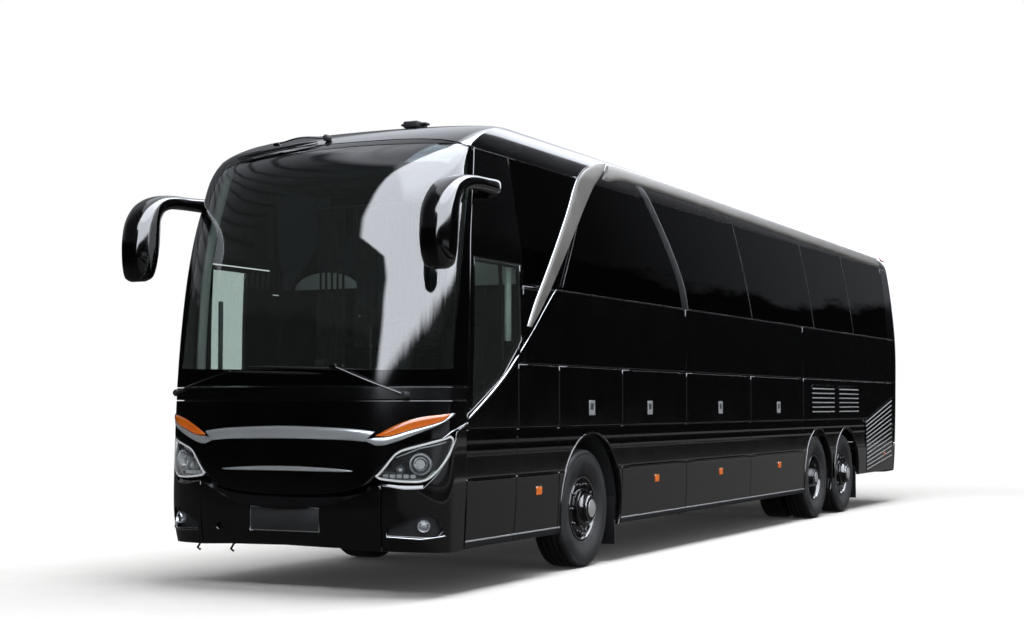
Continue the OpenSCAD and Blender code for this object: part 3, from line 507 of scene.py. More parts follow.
def node(tree, kind, links=None, stops=(), **settings):
    """Adds a node. links are its sockets, each a number, a colour, another node (its first output) or a socket.

    stops are a ramp's (place, colour) stops, a colour being a hex code or a grey level."""
    n = tree.nodes.new("ShaderNode" + kind)
    for key, value in settings.items():
        setattr(n, key, value)
    for key, value in (links or {}).items():
        if isinstance(value, bpy.types.Node):
            value = value.outputs[0]
        if isinstance(value, bpy.types.NodeSocket):
            tree.links.new(value, n.inputs[key])
        else:
            n.inputs[key].default_value = value
    for k, (place, colour) in enumerate(stops):
        if k == len(n.color_ramp.elements):
            n.color_ramp.elements.new(1)
        e = n.color_ramp.elements[k]
        e.position, e.color = place, rgb(colour) if isinstance(colour, str) else [colour] * 3 + [1]
    return n


def finish(name, colour, rough, mottle=None, grain=None, scale=200, depth=.00005, patches=3, **sockets):
    """A finish: its colour drifts to mottle and its roughness drifts with it, in patches, and its relief follows a fine
    grain.

    scale is how many grains go in a metre and depth their height in metres."""
    m = bpy.data.materials.new(name)
    m.use_nodes = True
    tree = m.node_tree
    tree.nodes.clear()
    place = node(tree, "TexCoord").outputs["Object"]
    broad = node(tree, "TexNoise", {"Vector": place, "Scale": patches, "Detail": 3, "Roughness": .55})
    fine = node(tree, "TexNoise", {"Vector": place, "Scale": scale, "Detail": 2, "Roughness": .6})
    if grain == "pebble":
        fine = node(tree, "TexVoronoi", {"Vector": place, "Scale": scale}, feature="SMOOTH_F1")
    colours = node(tree, "ValToRGB", {"Fac": broad}, [(.35, colour), (.7, mottle or colour)])
    roughs = node(tree, "MapRange", {"Value": broad, "From Min": .3, "From Max": .7,
                                     "To Min": rough * .8, "To Max": rough * 1.25})
    bump = node(tree, "Bump", {"Height": fine, "Strength": 1, "Distance": depth})
    shader = node(tree, "BsdfPrincipled", {"Base Color": colours, "Roughness": roughs,
                                           "Normal": bump, **sockets})
    node(tree, "OutputMaterial", {"Surface": shader})
    return m


def woven(name, colour, light, threads=700, rough=.85):
    """Woven upholstery cloth: over-and-under threads, drawn about 1.4 mm apart so that they show."""
    m = finish(name, colour, rough, light, patches=9, **{"Specular IOR Level": .1})
    tree = m.node_tree
    shader = next(n for n in tree.nodes if n.type == "BSDF_PRINCIPLED")
    place = node(tree, "TexCoord").outputs["Object"]
    waves = [node(tree, "TexWave", {"Vector": place, "Scale": threads / 20, "Distortion": .4},
                  bands_direction=d).outputs["Fac"] for d in ("Y", "Z")]
    weave = node(tree, "Math", {0: waves[0], 1: waves[1]}, operation="MULTIPLY")
    bump = node(tree, "Bump", {"Height": weave, "Strength": .7, "Distance": .0006})
    tree.links.new(bump.outputs[0], shader.inputs["Normal"])
    shader.inputs["Sheen Weight"].default_value = .06
    return m


# Acrylic clear coat over black: deep gloss, with the faint orange peel of a sprayed panel
paint = finish("clear_coated_black_paint", "#020203", .12, "#040405", scale=160, depth=.000012,
               **{"Coat Weight": 1, "Coat Roughness": .02, "IOR": 1.5})
# The same black on the small mouldings, a little less polished
moulding = finish("gloss_black_moulding", "#040405", .16, "#060607", scale=220, depth=.00002,
                  **{"Coat Weight": .6, "Coat Roughness": .06})
# Satin black pillar trim: no mirror image, only a soft sheen
satin = finish("satin_black_trim", "#1b1c1e", .34, "#222325", scale=500, depth=.00003)
# Silver-painted aluminium blade and roof rail: flake gives a soft, slightly warm metal sheen
silver = finish("satin_silver_paint", "#5d5c59", .45, "#656461", scale=900, depth=.000002, **{"Metallic": .25})
# Chromed ABS: nearly a mirror
chrome = finish("chromed_plastic", "#d5d7da", .07, "#cfd1d4", scale=120, depth=.00001, **{"Metallic": 1})
# Brushed aluminium edge line
bright = finish("bright_aluminium", "#c4c5c6", .22, "#b9babb", scale=800, depth=.00003, **{"Metallic": 1})
# Injection-moulded polypropylene with a leather-like grain of about 2 mm
plastic = finish("grained_black_polypropylene", "#17181a", .55, "#1d1e20", "pebble", scale=450, depth=.0002,
                 **{"Specular IOR Level": .3})
# Moulded rubber of the seals and mud flaps
rubber = finish("black_rubber", "#08080a", .75, "#0d0d0e", scale=300, depth=.0001, **{"Specular IOR Level": .15})
# Tyre rubber: dry, with road dust that greys it in patches
tyre_rubber = finish("tyre_rubber", "#09090a", .62, "#121211", scale=120, depth=.0003, patches=5,
                     **{"Specular IOR Level": .35})
# Powder-coated wheel disc, gloss black
rim_black = finish("gloss_black_wheel_enamel", "#08080a", .16, "#0c0c0e", scale=200, depth=.00003,
                   **{"Coat Weight": .8, "Coat Roughness": .05})
# Cast hub cover under a satin enamel: a broad, quiet highlight
hub_satin = finish("satin_hub_cover", "#0b0b0c", .28, "#101011", scale=600, depth=.00004)
# Turned and ground steel, bright with fine tool marks
machined = finish("machined_steel", "#83868a", .32, "#74777b", scale=400, depth=.00005, **{"Metallic": 1})
# Chassis steel under sprayed primer: dull, slightly uneven grey
primer = finish("chassis_primer", "#26282a", .6, "#313335", scale=150, depth=.0002, patches=4)
# Cast iron under thick engine enamel, rough from its sand mould
casting = finish("painted_cast_iron", "#3a3f42", .62, "#44494c", "pebble", scale=260, depth=.0006, patches=6)
# Rolled vinyl floor: matt, with an embossed grip grain of about 3 mm
vinyl = finish("grained_vinyl_floor", "#303234", .65, "#393b3d", "pebble", scale=300, depth=.0002, patches=8,
               **{"Specular IOR Level": .15})
# Dashboard skin, slush-moulded and soft to the touch: no highlight, only its grain
dash_grain = finish("soft_touch_dashboard", "#121416", .7, "#181a1c", "pebble", scale=380, depth=.0003,
                    **{"Specular IOR Level": .12})
# Pale cabin trim of moulded ABS with a fine pebble grain
pale_trim = finish("pale_grey_cabin_trim", "#b9c1bf", .7, "#c4ccc9", "pebble", scale=350, depth=.0002,
                   **{"Specular IOR Level": .15})
# Needled felt of the ceiling: wholly matt
headliner = finish("felt_headliner", "#26292b", .95, "#2d3033", scale=900, depth=.0004,
                   **{"Specular IOR Level": .05})
# Woven wool cloth of the seats: dark and dry, with a thin sheen on its pile
seat_cloth = woven("woven_seat_cloth", "#1d2123", "#272c2f")
# Embossed leather of the driver's seat and wheel rim: a soft sheen over a 2 mm grain
seat_leather = finish("grained_seat_leather", "#131415", .55, "#1a1b1c", "pebble", scale=500, depth=.0003,
                      **{"Specular IOR Level": .2})
# Woven polyester of the curtains, matt and a little greener
curtain_cloth = woven("pleated_curtain_cloth", "#2c3332", "#39413f")
# Lamp lenses of acrylic coloured in its mass: glossy, with light scattered inside
orange_lens = finish("orange_acrylic_lens", "#f07a1c", .14, "#e8690f", scale=250, depth=.0004,
                     **{"Coat Weight": 1, "Coat Roughness": .03, "Subsurface Weight": .15})
red_lens = finish("red_acrylic_lens", "#a8131a", .14, "#8f0f16", scale=250, depth=.0004,
                  **{"Coat Weight": 1, "Coat Roughness": .03})
# Aluminium vapour on a moulded bowl: a soft, broken mirror
reflector = finish("vapour_coated_reflector", "#ccd0d6", .2, "#b7bbc2", scale=90, depth=.0003, **{"Metallic": .6})
# Frosted polycarbonate of the light guides: pale and milky
lamp_white = finish("frosted_light_guide", "#e8ecef", .3, "#dfe4e8", scale=400, depth=.0001)
# Lamp bowl moulded in dark plastic and metallised thinly
lamp_bowl = finish("dark_lamp_bowl", "#24272a", .25, "#2d3135", scale=200, depth=.00004, **{"Metallic": .4})


def glazing(name, colour, **sockets):
    """Float glass, tinted in its mass: clear, flat and slightly dusty."""
    return finish(name, colour, .004, colour, scale=2, depth=.00002,
                  **{"Transmission Weight": 1, "IOR": 1.5, **sockets})


# Laminated windscreen: a faint green that deepens to blue in the shade band along its top
clear_glass = glazing("laminated_windscreen", "#d3dfdb", **{"Coat Weight": 1, "Coat Roughness": 0})
tree = clear_glass.node_tree
height = node(tree, "SeparateXYZ", {0: node(tree, "TexCoord").outputs["Object"]}).outputs["Z"]
shade = node(tree, "MapRange", {"Value": height, "From Min": 3.22, "From Max": 3.34})
tint = node(tree, "ValToRGB", {"Fac": shade}, [(0, "#d6e2de"), (1, "#7e909b")])
tree.links.new(tint.outputs[0],
               next(n for n in tree.nodes if n.type == "BSDF_PRINCIPLED").inputs["Base Color"])
# Privacy glass of the passenger windows: almost black from outside
dark_glass = glazing("privacy_glass", "#101314")
# Moulded polycarbonate of the lamp covers, clear and hard-coated
lens = glazing("clear_polycarbonate_lens", "#eef1f2")
# Ceramic print baked on the inside of the panes
frit = finish("black_ceramic_print", "#030304", .05, "#050506", scale=900, depth=.000004)

# Die-cast latch frames, lacquered silver grey, and the anodised slats of the grilles
pale_latch = finish("lacquered_latch_casting", "#8d8f91", .45, "#7f8183", scale=700, depth=.00004, **{"Metallic": .3})
slat = finish("anodised_slat", "#9a9c9d", .42, "#8b8d8e", scale=700, depth=.00003, **{"Metallic": .35})
# Satin chrome of the bars across the front
satin_chrome = finish("satin_chrome", "#c6ccd2", .2, "#b9bfc5", scale=300, depth=.000004,
                      **{"Metallic": .55, "Coat Weight": .6, "Coat Roughness": .05})


# ---------- outlines, in metres from the front axle ----------

GAP = .0035  # half the gap between two outer panels
WAIST, ROOF_LOW, CREASE, FLAP_TOP, SKIRT, SILL = 2.41, 3.45, 1.249, 1.768, .34, .40
ARCH_R, HUB_Z = .655, .522
WHEELS = [0, -7.15, -8.50]
FLAPS = [-.675, -2.357, -4.416, -6.475]
MID_DOOR = (-5.587, -6.467)
FRONT_DOOR, DOOR_TOP = (2.255, 1.325), 2.62
LIFT_OFF = .008

front_edge = Curve([(0, 2.366), (1.25, 2.365), (1.60, 2.350), (2.621, 2.283), (3.425, 2.092), (3.60, 2.045)])
screen_high = Curve([(0, 3.516), (.64, 3.516), (.95, 3.50), (1.10, 3.47), (1.18, 3.44), (1.275, 3.43)])
mask_low = [(0, .760), (.24, .765), (.48, .785), (.67, .830), (.76, .905), (.80, .960), (.855, 1.003),
            (.965, 1.112), (1.133, 1.165)]
bumper_high = [(0, .752), (.24, .757), (.48, .777), (.67, .822), (.74, .890), (.775, .894), (.855, .862),
               (1.0, .85), (1.137, .857), (1.209, .922), (1.25, 1.01), (1.267, 1.06)]
bumper_low = [(0, .372), (.50, .362), (.85, .345), (1.275, .335)]
bumper_top = Curve(bumper_high[:4] + bumper_high[6:])


def ahead_at(y, z):
    """How far forward of the front axle the nose's skin is at half breadth y and height z."""
    return float(nose_place(nose_u(np.array(y), z), np.array(z))[0])


def on_nose(points):
    """(y, z) points to the nose's own measures."""
    return [(float(nose_u(y, z)), z) for y, z in points]


def both_ways(half):
    """A line over the left half, joined to its mirror image on the right, right to left."""
    half = np.array(half, float)
    other = half[::-1] * [-1, 1]
    return np.vstack([other[:-1] if abs(half[0][0]) < 1e-6 else other, half])


def nose_edge(z, back=.012):
    """The nose's own measure at the side's front edge, at height z."""
    return float(nose_at_x(front_edge(z) + back, z))


def arch(x, z_end=SKIRT, r=ARCH_R):
    """Wheel arch from its rear foot over the top to its front foot."""
    a = math.asin((HUB_Z - z_end) / r)
    return [(x - r * math.cos(t), HUB_Z + r * math.sin(t)) for t in np.linspace(-a, math.pi + a, 41)]


# The crease under the waist and the step above the skirt, which carry the long highlights
def side_relief(x, z):
    ledge = np.clip((z - .858) / .016, 0, 1)
    ledge = ledge * ledge * (3 - 2 * ledge)
    top = np.clip((z - 1.03) / .21, 0, 1)
    ribs = np.exp(-((z - 1.165) / .016) ** 2) + .8 * np.exp(-((z - 1.085) / .013) ** 2)
    return np.where(z < CREASE, -.006 * ledge - .006 * top ** 2 + .0026 * ribs - .003, 0 * z) + 0 * x


lower_side = side.raised(side_relief)

# ---------- front ----------

edge_z = np.linspace(1.577, 3.43, 24)
screen_outline = chain(
    both_ways([(0, 1.577), (nose_edge(1.577), 1.577)]), [(nose_edge(z), z) for z in edge_z[1:]],
    both_ways([(float(nose_u(y, screen_high(y))), float(screen_high(y))) for y in np.linspace(0, 1.27, 24)])[::-1],
    [(-nose_edge(z), z) for z in edge_z[::-1]])
screen_clear = chain(
    spline([(-.992, 1.733), (-.942, 2.373), (-.935, 2.926), (-.909, 3.266)]),
    spline([(-.86, 3.37), (-.647, 3.412), (-.278, 3.435), (.196, 3.47), (.644, 3.466), (.935, 3.462), (1.221, 3.458)]),
    spline([(1.33, 3.445), (1.42, 3.36), (1.47, 3.16), (1.46, 2.926), (1.421, 2.484), (1.375, 2.141), (1.365, 1.73)]),
    spline([(1.33, 1.703), (.9, 1.698), (.427, 1.696), (-.162, 1.706), (-.6, 1.716), (-.95, 1.725)]))
windscreen = Piece("windscreen", "coach_body", ["windscreen"], "clear_glass")
windscreen.add(panel(nose, screen_outline, depth=.010, roll=.003, cell=(.06, .06)), clear_glass)
windscreen.made().visible_shadow = False
screen_frit = Piece("windscreen_black_border", slot="black_plastic")
screen_frit.add(panel(nose.raised(.0012), shrunk(screen_outline, .0035), [screen_clear], depth=.001, roll=0,
                      cell=(.06, .06)), frit)
screen_frit.add(panel(nose, chain(both_ways([(0, 1.4745), (nose_edge(1.4745), 1.4745)]),
                                  both_ways([(0, 1.570), (nose_edge(1.57), 1.570)])[::-1]),
                      depth=.04, roll=.004, cell=(.06, .03)), moulding)
screen_frit.made()

mask_bottom = on_nose(mask_low) + [(1.288, 1.204), (1.36, 1.228), (1.47, 1.247), (nose_edge(1.292), 1.292)]
mask_outline = chain(both_ways(spline(mask_bottom[:5], .05)[:-1].tolist() + mask_bottom[4:]),
                     both_ways([(0, 1.468), (nose_edge(1.468), 1.468)])[::-1])
front_mask = Piece("front_mask", "coach_body", ["front_mask"], "body_paint")
front_mask.add(panel(nose, mask_outline, depth=.05, roll=.006, cell=(.05, .05)), paint)
# dark inner skins behind the seams of the front
front_mask.add(panel(nose.raised(-.060), rect(-1.42, 1.42, 1.36, 1.58), depth=.004, roll=0, cell=(.08, .08)), plastic)
front_mask.add(panel(nose.raised(-.060), rect(-.50, .50, .44, 1.34), depth=.004, roll=0, cell=(.08, .08)), plastic)
front_mask.made()

bumper_top_edge = on_nose(bumper_high) + [(1.465, 1.172), (1.475, 1.232), (nose_edge(1.284, .008), 1.284)]


def lip_depth(y):
    """Height of the sloping lip along the bumper's upper edge."""
    y = np.abs(y)
    return .022 + .075 * np.clip(1 - (y / .80) ** 2, 0, 1) + .012 * np.clip((y - .80) / .2, 0, 1)


def lip(y0, y1, count=40):
    """The two edges of the lip between two places across the front."""
    ys = np.linspace(y0, y1, count)
    top = bumper_top(ys)
    return [np.column_stack([nose_u(ys, z), z]) for z in (top, top - lip_depth(ys))]


SEAM_Y = .824
seam_u = float(nose_u(SEAM_Y, .6))
low = on_nose(bumper_low)
lip_high, lip_low = lip(0, SEAM_Y - .004)
middle = chain(both_ways([p for p in low if p[0] < seam_u] + [(seam_u - GAP, .346)]), both_ways(lip_low)[::-1])
plate_hole = rect(-float(nose_u(.3145, .57)), float(nose_u(.3145, .57)), .478, .662)
side_high, side_low = lip(SEAM_Y + .004, 1.125)
corner = chain([(seam_u + GAP, .346), (1.45, .335), (nose_edge(.335, .008), .335), (nose_edge(.8, .008), .8)],
               [p for p in bumper_top_edge if p[0] > float(nose_u(1.15, .86))][::-1], side_low[::-1])
fog_hole = on_nose([(.862, .470), (1.20, .455), (1.236, .50), (1.205, .612), (1.12, .628), (.862, .520)])
front_bumper = Piece("front_bumper", "coach_body", ["front_bumper"], "body_paint")
front_bumper.add(panel(nose, middle, [plate_hole, [(float(nose_u(-.62, .5)) + .03 * math.cos(t),
                 .5 + .03 * math.sin(t)) for t in np.linspace(0, 2 * math.pi, 24, endpoint=False)]],
                       depth=.045, roll=.006, cell=(.05, .04)), paint)
front_bumper.both(panel(nose, corner, [fog_hole], depth=.045, roll=.006, cell=(.05, .04)), paint)
front_bumper.add(facet(nose, both_ways(lip_high), both_ways(lip_low), .040, .0015), paint)
front_bumper.both(facet(nose, side_high, side_low, .022, .0015, count=40), paint)
# backs of the plate recess and of the fog lamp pockets
front_bumper.add(block((2.905, -.325, .472), (2.919, .325, .668), .002), moulding)
front_bumper.both(panel(nose.raised(-.046), shrunk(fog_hole, -.02), depth=.01, roll=0, cell=(.06, .06)), plastic)
for y in (-.88, -.56):
    front_bumper.add(tube([(2.70, y, .385), (2.80, y, .352), (2.835, y, .315), (2.815, y + .012, .298)], .009, 10),
                     rubber)
front_bumper.made()

# Blank plate carrier with a thin light rim
plate = Piece("number_plate_carrier", slot="black_plastic")
plate.add(block((2.919, -.314, .479), (2.9245, .314, .661), .0012, 2), slat)
plate.add(block((2.921, -.3095, .4835), (2.9265, .3095, .6565), .0012, 2), plastic)
plate.made()

# Chrome bar across the mask, with the silver bands that run out under the turn lamps
trim = Piece("front_silver_bars", slot="machined_steel")
bar_top = both_ways(on_nose([(0, 1.277), (.465, 1.264), (.638, 1.252), (.772, 1.236)]))
bar_low = both_ways(on_nose([(0, 1.180), (.30, 1.177), (.522, 1.172), (.690, 1.160)]))
trim.add(strip(nose, spline(bar_top), spline(bar_low), rise=.018, foot=.004, count=80, steps=14, flat=.6), satin_chrome)
band_high = [(.526, 1.178), (.60, 1.192), (.706, 1.200), (.860, 1.242), (1.031, 1.276), (1.223, 1.314), (1.36, 1.370),
             (1.443, 1.3725)]
band_low = [(.524, 1.172), (.575, 1.146), (.664, 1.135), (.963, 1.229), (1.276, 1.317), (1.40, 1.356), (1.446, 1.370)]
trim.both(strip(nose, spline(band_high), spline(band_low), rise=.012, foot=.003, count=60, steps=10, flat=.7),
          satin_chrome)
tip = spline([(-.60, .941), (-.30, .951), (0, .955), (.30, .951), (.60, .941)])
thick = .017 * np.sqrt(np.clip(1 - (tip[:, 0] / .6) ** 2, 0, 1))[:, None] * [0, 1]
trim.add(strip(nose, on_nose(tip + thick), on_nose(tip - thick * 1.1), rise=.009, foot=.003, count=80, steps=8),
         satin_chrome)
trim.made()

turn = Piece("front_turn_lamps", slot="lamp")
turn_high = [(.606, 1.207), (.722, 1.271), (.859, 1.322), (1.028, 1.351), (1.20, 1.362), (1.345, 1.371)]
turn_low = [(.612, 1.203), (.706, 1.205), (.860, 1.247), (1.031, 1.281), (1.223, 1.319), (1.345, 1.369)]
turn.both(strip(nose, spline(turn_high), spline(turn_low), rise=.009, foot=.003, count=60, steps=8, flat=.9),
          orange_lens)
turn.made()

# ---------- headlamps: a dark bowl, a projector in a chrome ring, light guides, and a clear cover ----------

lamp_edge = chain([on_nose([p])[0] for p in [(.772, .908), (.80, .884), (.855, .872), (1.002, .859), (1.13, .866),
                   (1.209, .932)]], [(1.344, 1.063), (1.40, 1.11), (1.443, 1.172)],
                  [(1.37, 1.205), (1.288, 1.197)],
                  on_nose([(1.133, 1.153), (.963, 1.101), (.90, 1.05), (.853, .99), (.80, .93)]))
lamp_loop = spline(np.vstack([lamp_edge, lamp_edge[:1]]), .03)[:-1]
headlamps = Piece("headlamp_housings", "coach_body", ["headlamps"], "lamp")
headlamps.both(panel(nose.raised(-.075), shrunk(lamp_loop, -.004), depth=.01, roll=0, cell=(.05, .05)), lamp_bowl)
ring = shrunk(lamp_loop, -.003)
headlamps.both(panel(nose.raised(-.002), ring, [shrunk(lamp_loop, .012)], depth=.07, roll=.002, cell=(.04, .04)),
               lamp_bowl)
headlamps.both(panel(nose.raised(-.001), shrunk(lamp_loop, .0005), [shrunk(lamp_loop, .017)], depth=.012, roll=.004,
                     cell=(.04, .04)), lamp_white)


def lamp_unit(y, z, r, depth=.05, yaw=24):
    """A projector: chrome bezel and glass eye, facing forward and a little outward."""
    x = ahead_at(y, z)
    turn = np.array(about("z", yaw - 90))
    by = (x - depth, y, z)
    eye = lathe([(0, -.02), (r * .62, -.02), (r * .62, .006), (r * .5, .020), (r * .25, .029), (0, .032)], 40)
    bezel = lathe([(r * .66, -.02), (r, -.02), (r, .012), (r * .93, .022), (r * .82, .018), (r * .66, -.004)], 40)
    return moved(eye, turn, by), moved(bezel, turn, by)


for y, z, r in ((1.085, .995, .086), (.945, .955, .032)):
    eye, bezel = lamp_unit(y, z, r)
    headlamps.both(eye, lens).both(bezel, reflector)
    # bright filament screen with eight facets in the middle of the eye
    x = ahead_at(y, z)
    headlamps.both(moved(lathe([(0, .026), (r * .40, .026), (r * .44, .030), (r * .30, .0345), (0, .036)], 8),
                         np.array(about("z", -66)), (x - .05, y, z)), lamp_white)
# stepped light guides along the lower edge
for k in range(5):
    y = .845 + .052 * k
    spot = nose.raised(-.05).place(np.array(nose_u(y, .905)), np.array(.905))
    headlamps.both(moved(block((-.012, -.019, -.014), (.012, .019, .014), .003), about("z", 14), spot), lamp_white)
headlamps.both(strip(nose.raised(-.045), on_nose([(.83, .889), (1.0, .880), (1.13, .888), (1.20, .95)]),
                     on_nose([(.83, .881), (1.0, .871), (1.135, .879), (1.212, .947)]), rise=.006, count=30),
               lamp_white)
headlamps.both(strip(nose.raised(-.03), [(nose_u(.93, 1.05), 1.052), (nose_u(1.10, 1.11), 1.122), (1.30, 1.165)],
                     [(nose_u(.93, 1.05), 1.042), (nose_u(1.10, 1.1), 1.110), (1.32, 1.155)], rise=.006, count=30),
               reflector)
headlamps.made()
covers = Piece("headlamp_covers", slot="clear_glass")
covers.both(panel(nose, shrunk(lamp_loop, .018), depth=.004, roll=.0015, cell=(.04, .04)), lens)
covers.made().visible_shadow = False

fogs = Piece("fog_lamps", slot="lamp")
fog_y, fog_z, r = 1.118, .54, .048
fog_turn, fog_spot = about("z", -64), (ahead_at(fog_y, fog_z) - .022, fog_y, fog_z)
bowl = [(0, -.03), (r, -.03), (r, .006), (r * .9, .014), (r * .84, .008), (r * .5, -.012), (0, -.016)]
fogs.both(moved(lathe(bowl, 40), fog_turn, fog_spot), reflector)
fogs.both(moved(lathe([(0, .004), (r * .84, .004), (r * .6, .011), (0, .014)], 40), fog_turn, fog_spot), lens)
fogs.both(strip(nose, on_nose([(.86, .462), (1.10, .448), (1.24, .470)]),
                on_nose([(.86, .452), (1.10, .436), (1.25, .460)]),
                rise=.006, count=30), chrome)
fogs.made()


# ---------- sides ----------

S1_LOW, S1_HIGH, S2, ALINE = 1.547, 1.487, .710, 1.386
TAIL_EDGE = Curve([(z, float(tail_x(z)) + TAIL_DEPTH + LIFT_OFF) for z in (.30, .62, 1.59, 2.37, 2.95, 3.456)])
PANE_EDGES = [(-1.440, -2.355), (-4.080, -4.510), (-6.629, -6.995), (-8.546, -8.916)]
PILLAR = [(-1.440, ROOF_LOW), (-1.889, 3.100), (-2.245, 2.700), (-2.355, WAIST)]
BLADE = [(-.045, 3.44), (.261, 2.971), (.640, WAIST)]
TAIL_PANE = (-10.74, -10.885)
DRIVER = [(2.226, 2.566), (1.444, 2.566), (1.444, 1.962), (1.780, 1.666), (2.286, 1.408)]
WIDE = (.30, .05)


def pane_loops(e, bottom=WAIST, top=ROOF_LOW):
    """The five window panes of a side, drawn in by e at every edge."""
    pillar = spline(PILLAR, .1)
    pillar = pillar[(pillar[:, 1] > bottom + e) & (pillar[:, 1] < top - e)]
    first = chain([(BLADE[2][0] - e, bottom + e), (BLADE[1][0] - e, BLADE[1][1]), (BLADE[0][0] - e, top - e),
                   (PILLAR[0][0] + e, top - e)], pillar + [e, 0], [(PILLAR[3][0] + e, bottom + e)])
    second = chain([(PILLAR[3][0] - e, bottom + e)], pillar[::-1] - [e, 0],
                   [(PILLAR[0][0] - e, top - e), (PANE_EDGES[1][0] + e, top - e), (PANE_EDGES[1][1] + e, bottom + e)])
    rest = [chain([(a[1] - e, bottom + e), (a[0] - e, top - e), (b[0] + e, top - e), (b[1] + e, bottom + e)])
            for a, b in zip(PANE_EDGES[1:], PANE_EDGES[2:] + [TAIL_PANE])]
    return [first, second, *rest]


def quarter_loop(where, e):
    low = ALINE if where == LEFT else 1.300
    return chain([(low - e, 2.62), (1.50 - e, ROOF_LOW - e), (.02 + e, ROOF_LOW - e), (.35 + e, 2.99),
                  (.76 + e, 2.49), (.90 + e, WAIST + .01 + e), (low - e, WAIST + .01 + e)])


def split_low(x0, x1, bottom=SKIRT + .003, arch_run=()):
    """Outlines of a side panel from x0 forward to x1, below and above the crease, with a wheel arch in its foot."""
    return (chain([(x0, bottom)], arch_run, [(x1, bottom), (x1, CREASE - GAP), (x0, CREASE - GAP)]),
            rect(x0, x1, CREASE + GAP, FLAP_TOP - GAP))


def sill_highlight_and_rubber(piece, x0, x1, mirror, sill=SILL):
    """Pale strip along a lower panel's sill, a painted highlight of its lower edge, with a dark rubber strip under it.
    """
    line = [(x0 + .004, sill), (x1 - .004, sill)]
    # pale strip: a painted highlight along the panel's lower edge
    piece.add(strip(lower_side, np.array(line) + [0, .006], np.array(line) - [0, .006], rise=.004, foot=.003,
                    count=2, steps=6), slat, mirror)
    piece.add(strip(lower_side, np.array(line) - [0, .008], [(x0 + .004, SKIRT + .012), (x1 - .004, SKIRT + .012)],
                    rise=.0022,
                    foot=.003, count=2, steps=6, flat=.3), rubber, mirror)


def latch(piece, x, mirror):
    """Push latch of a flap: a rounded silver frame with a dark pull."""
    spot = rect(x - .062, x + .062, 1.345, 1.475)
    hole = rect(x - .036, x + .036, 1.392, 1.448)
    piece.add(panel(side.raised(.0035), spot, [hole], depth=.006, roll=.003, cell=(.03, .03)), pale_latch, mirror)
    piece.add(panel(side.raised(.0012), hole, depth=.003, roll=.001, cell=(.03, .03)), plastic, mirror)


def marker(piece, x, z, mirror, finish_=None, w=.052, h=.034):
    """Side marker: a domed reflex lens on a black base."""
    piece.add(panel(lower_side.raised(.003), rect(x - w - .006, x + w + .006, z - h - .006, z + h + .006), depth=.005,
                    roll=.002, cell=(.05, .04)), plastic, mirror)
    piece.add(panel(lower_side.raised(.009), rect(x - w, x + w, z - h, z + h), depth=.007, roll=.006,
                    cell=(.03, .02)), finish_ or orange_lens, mirror)


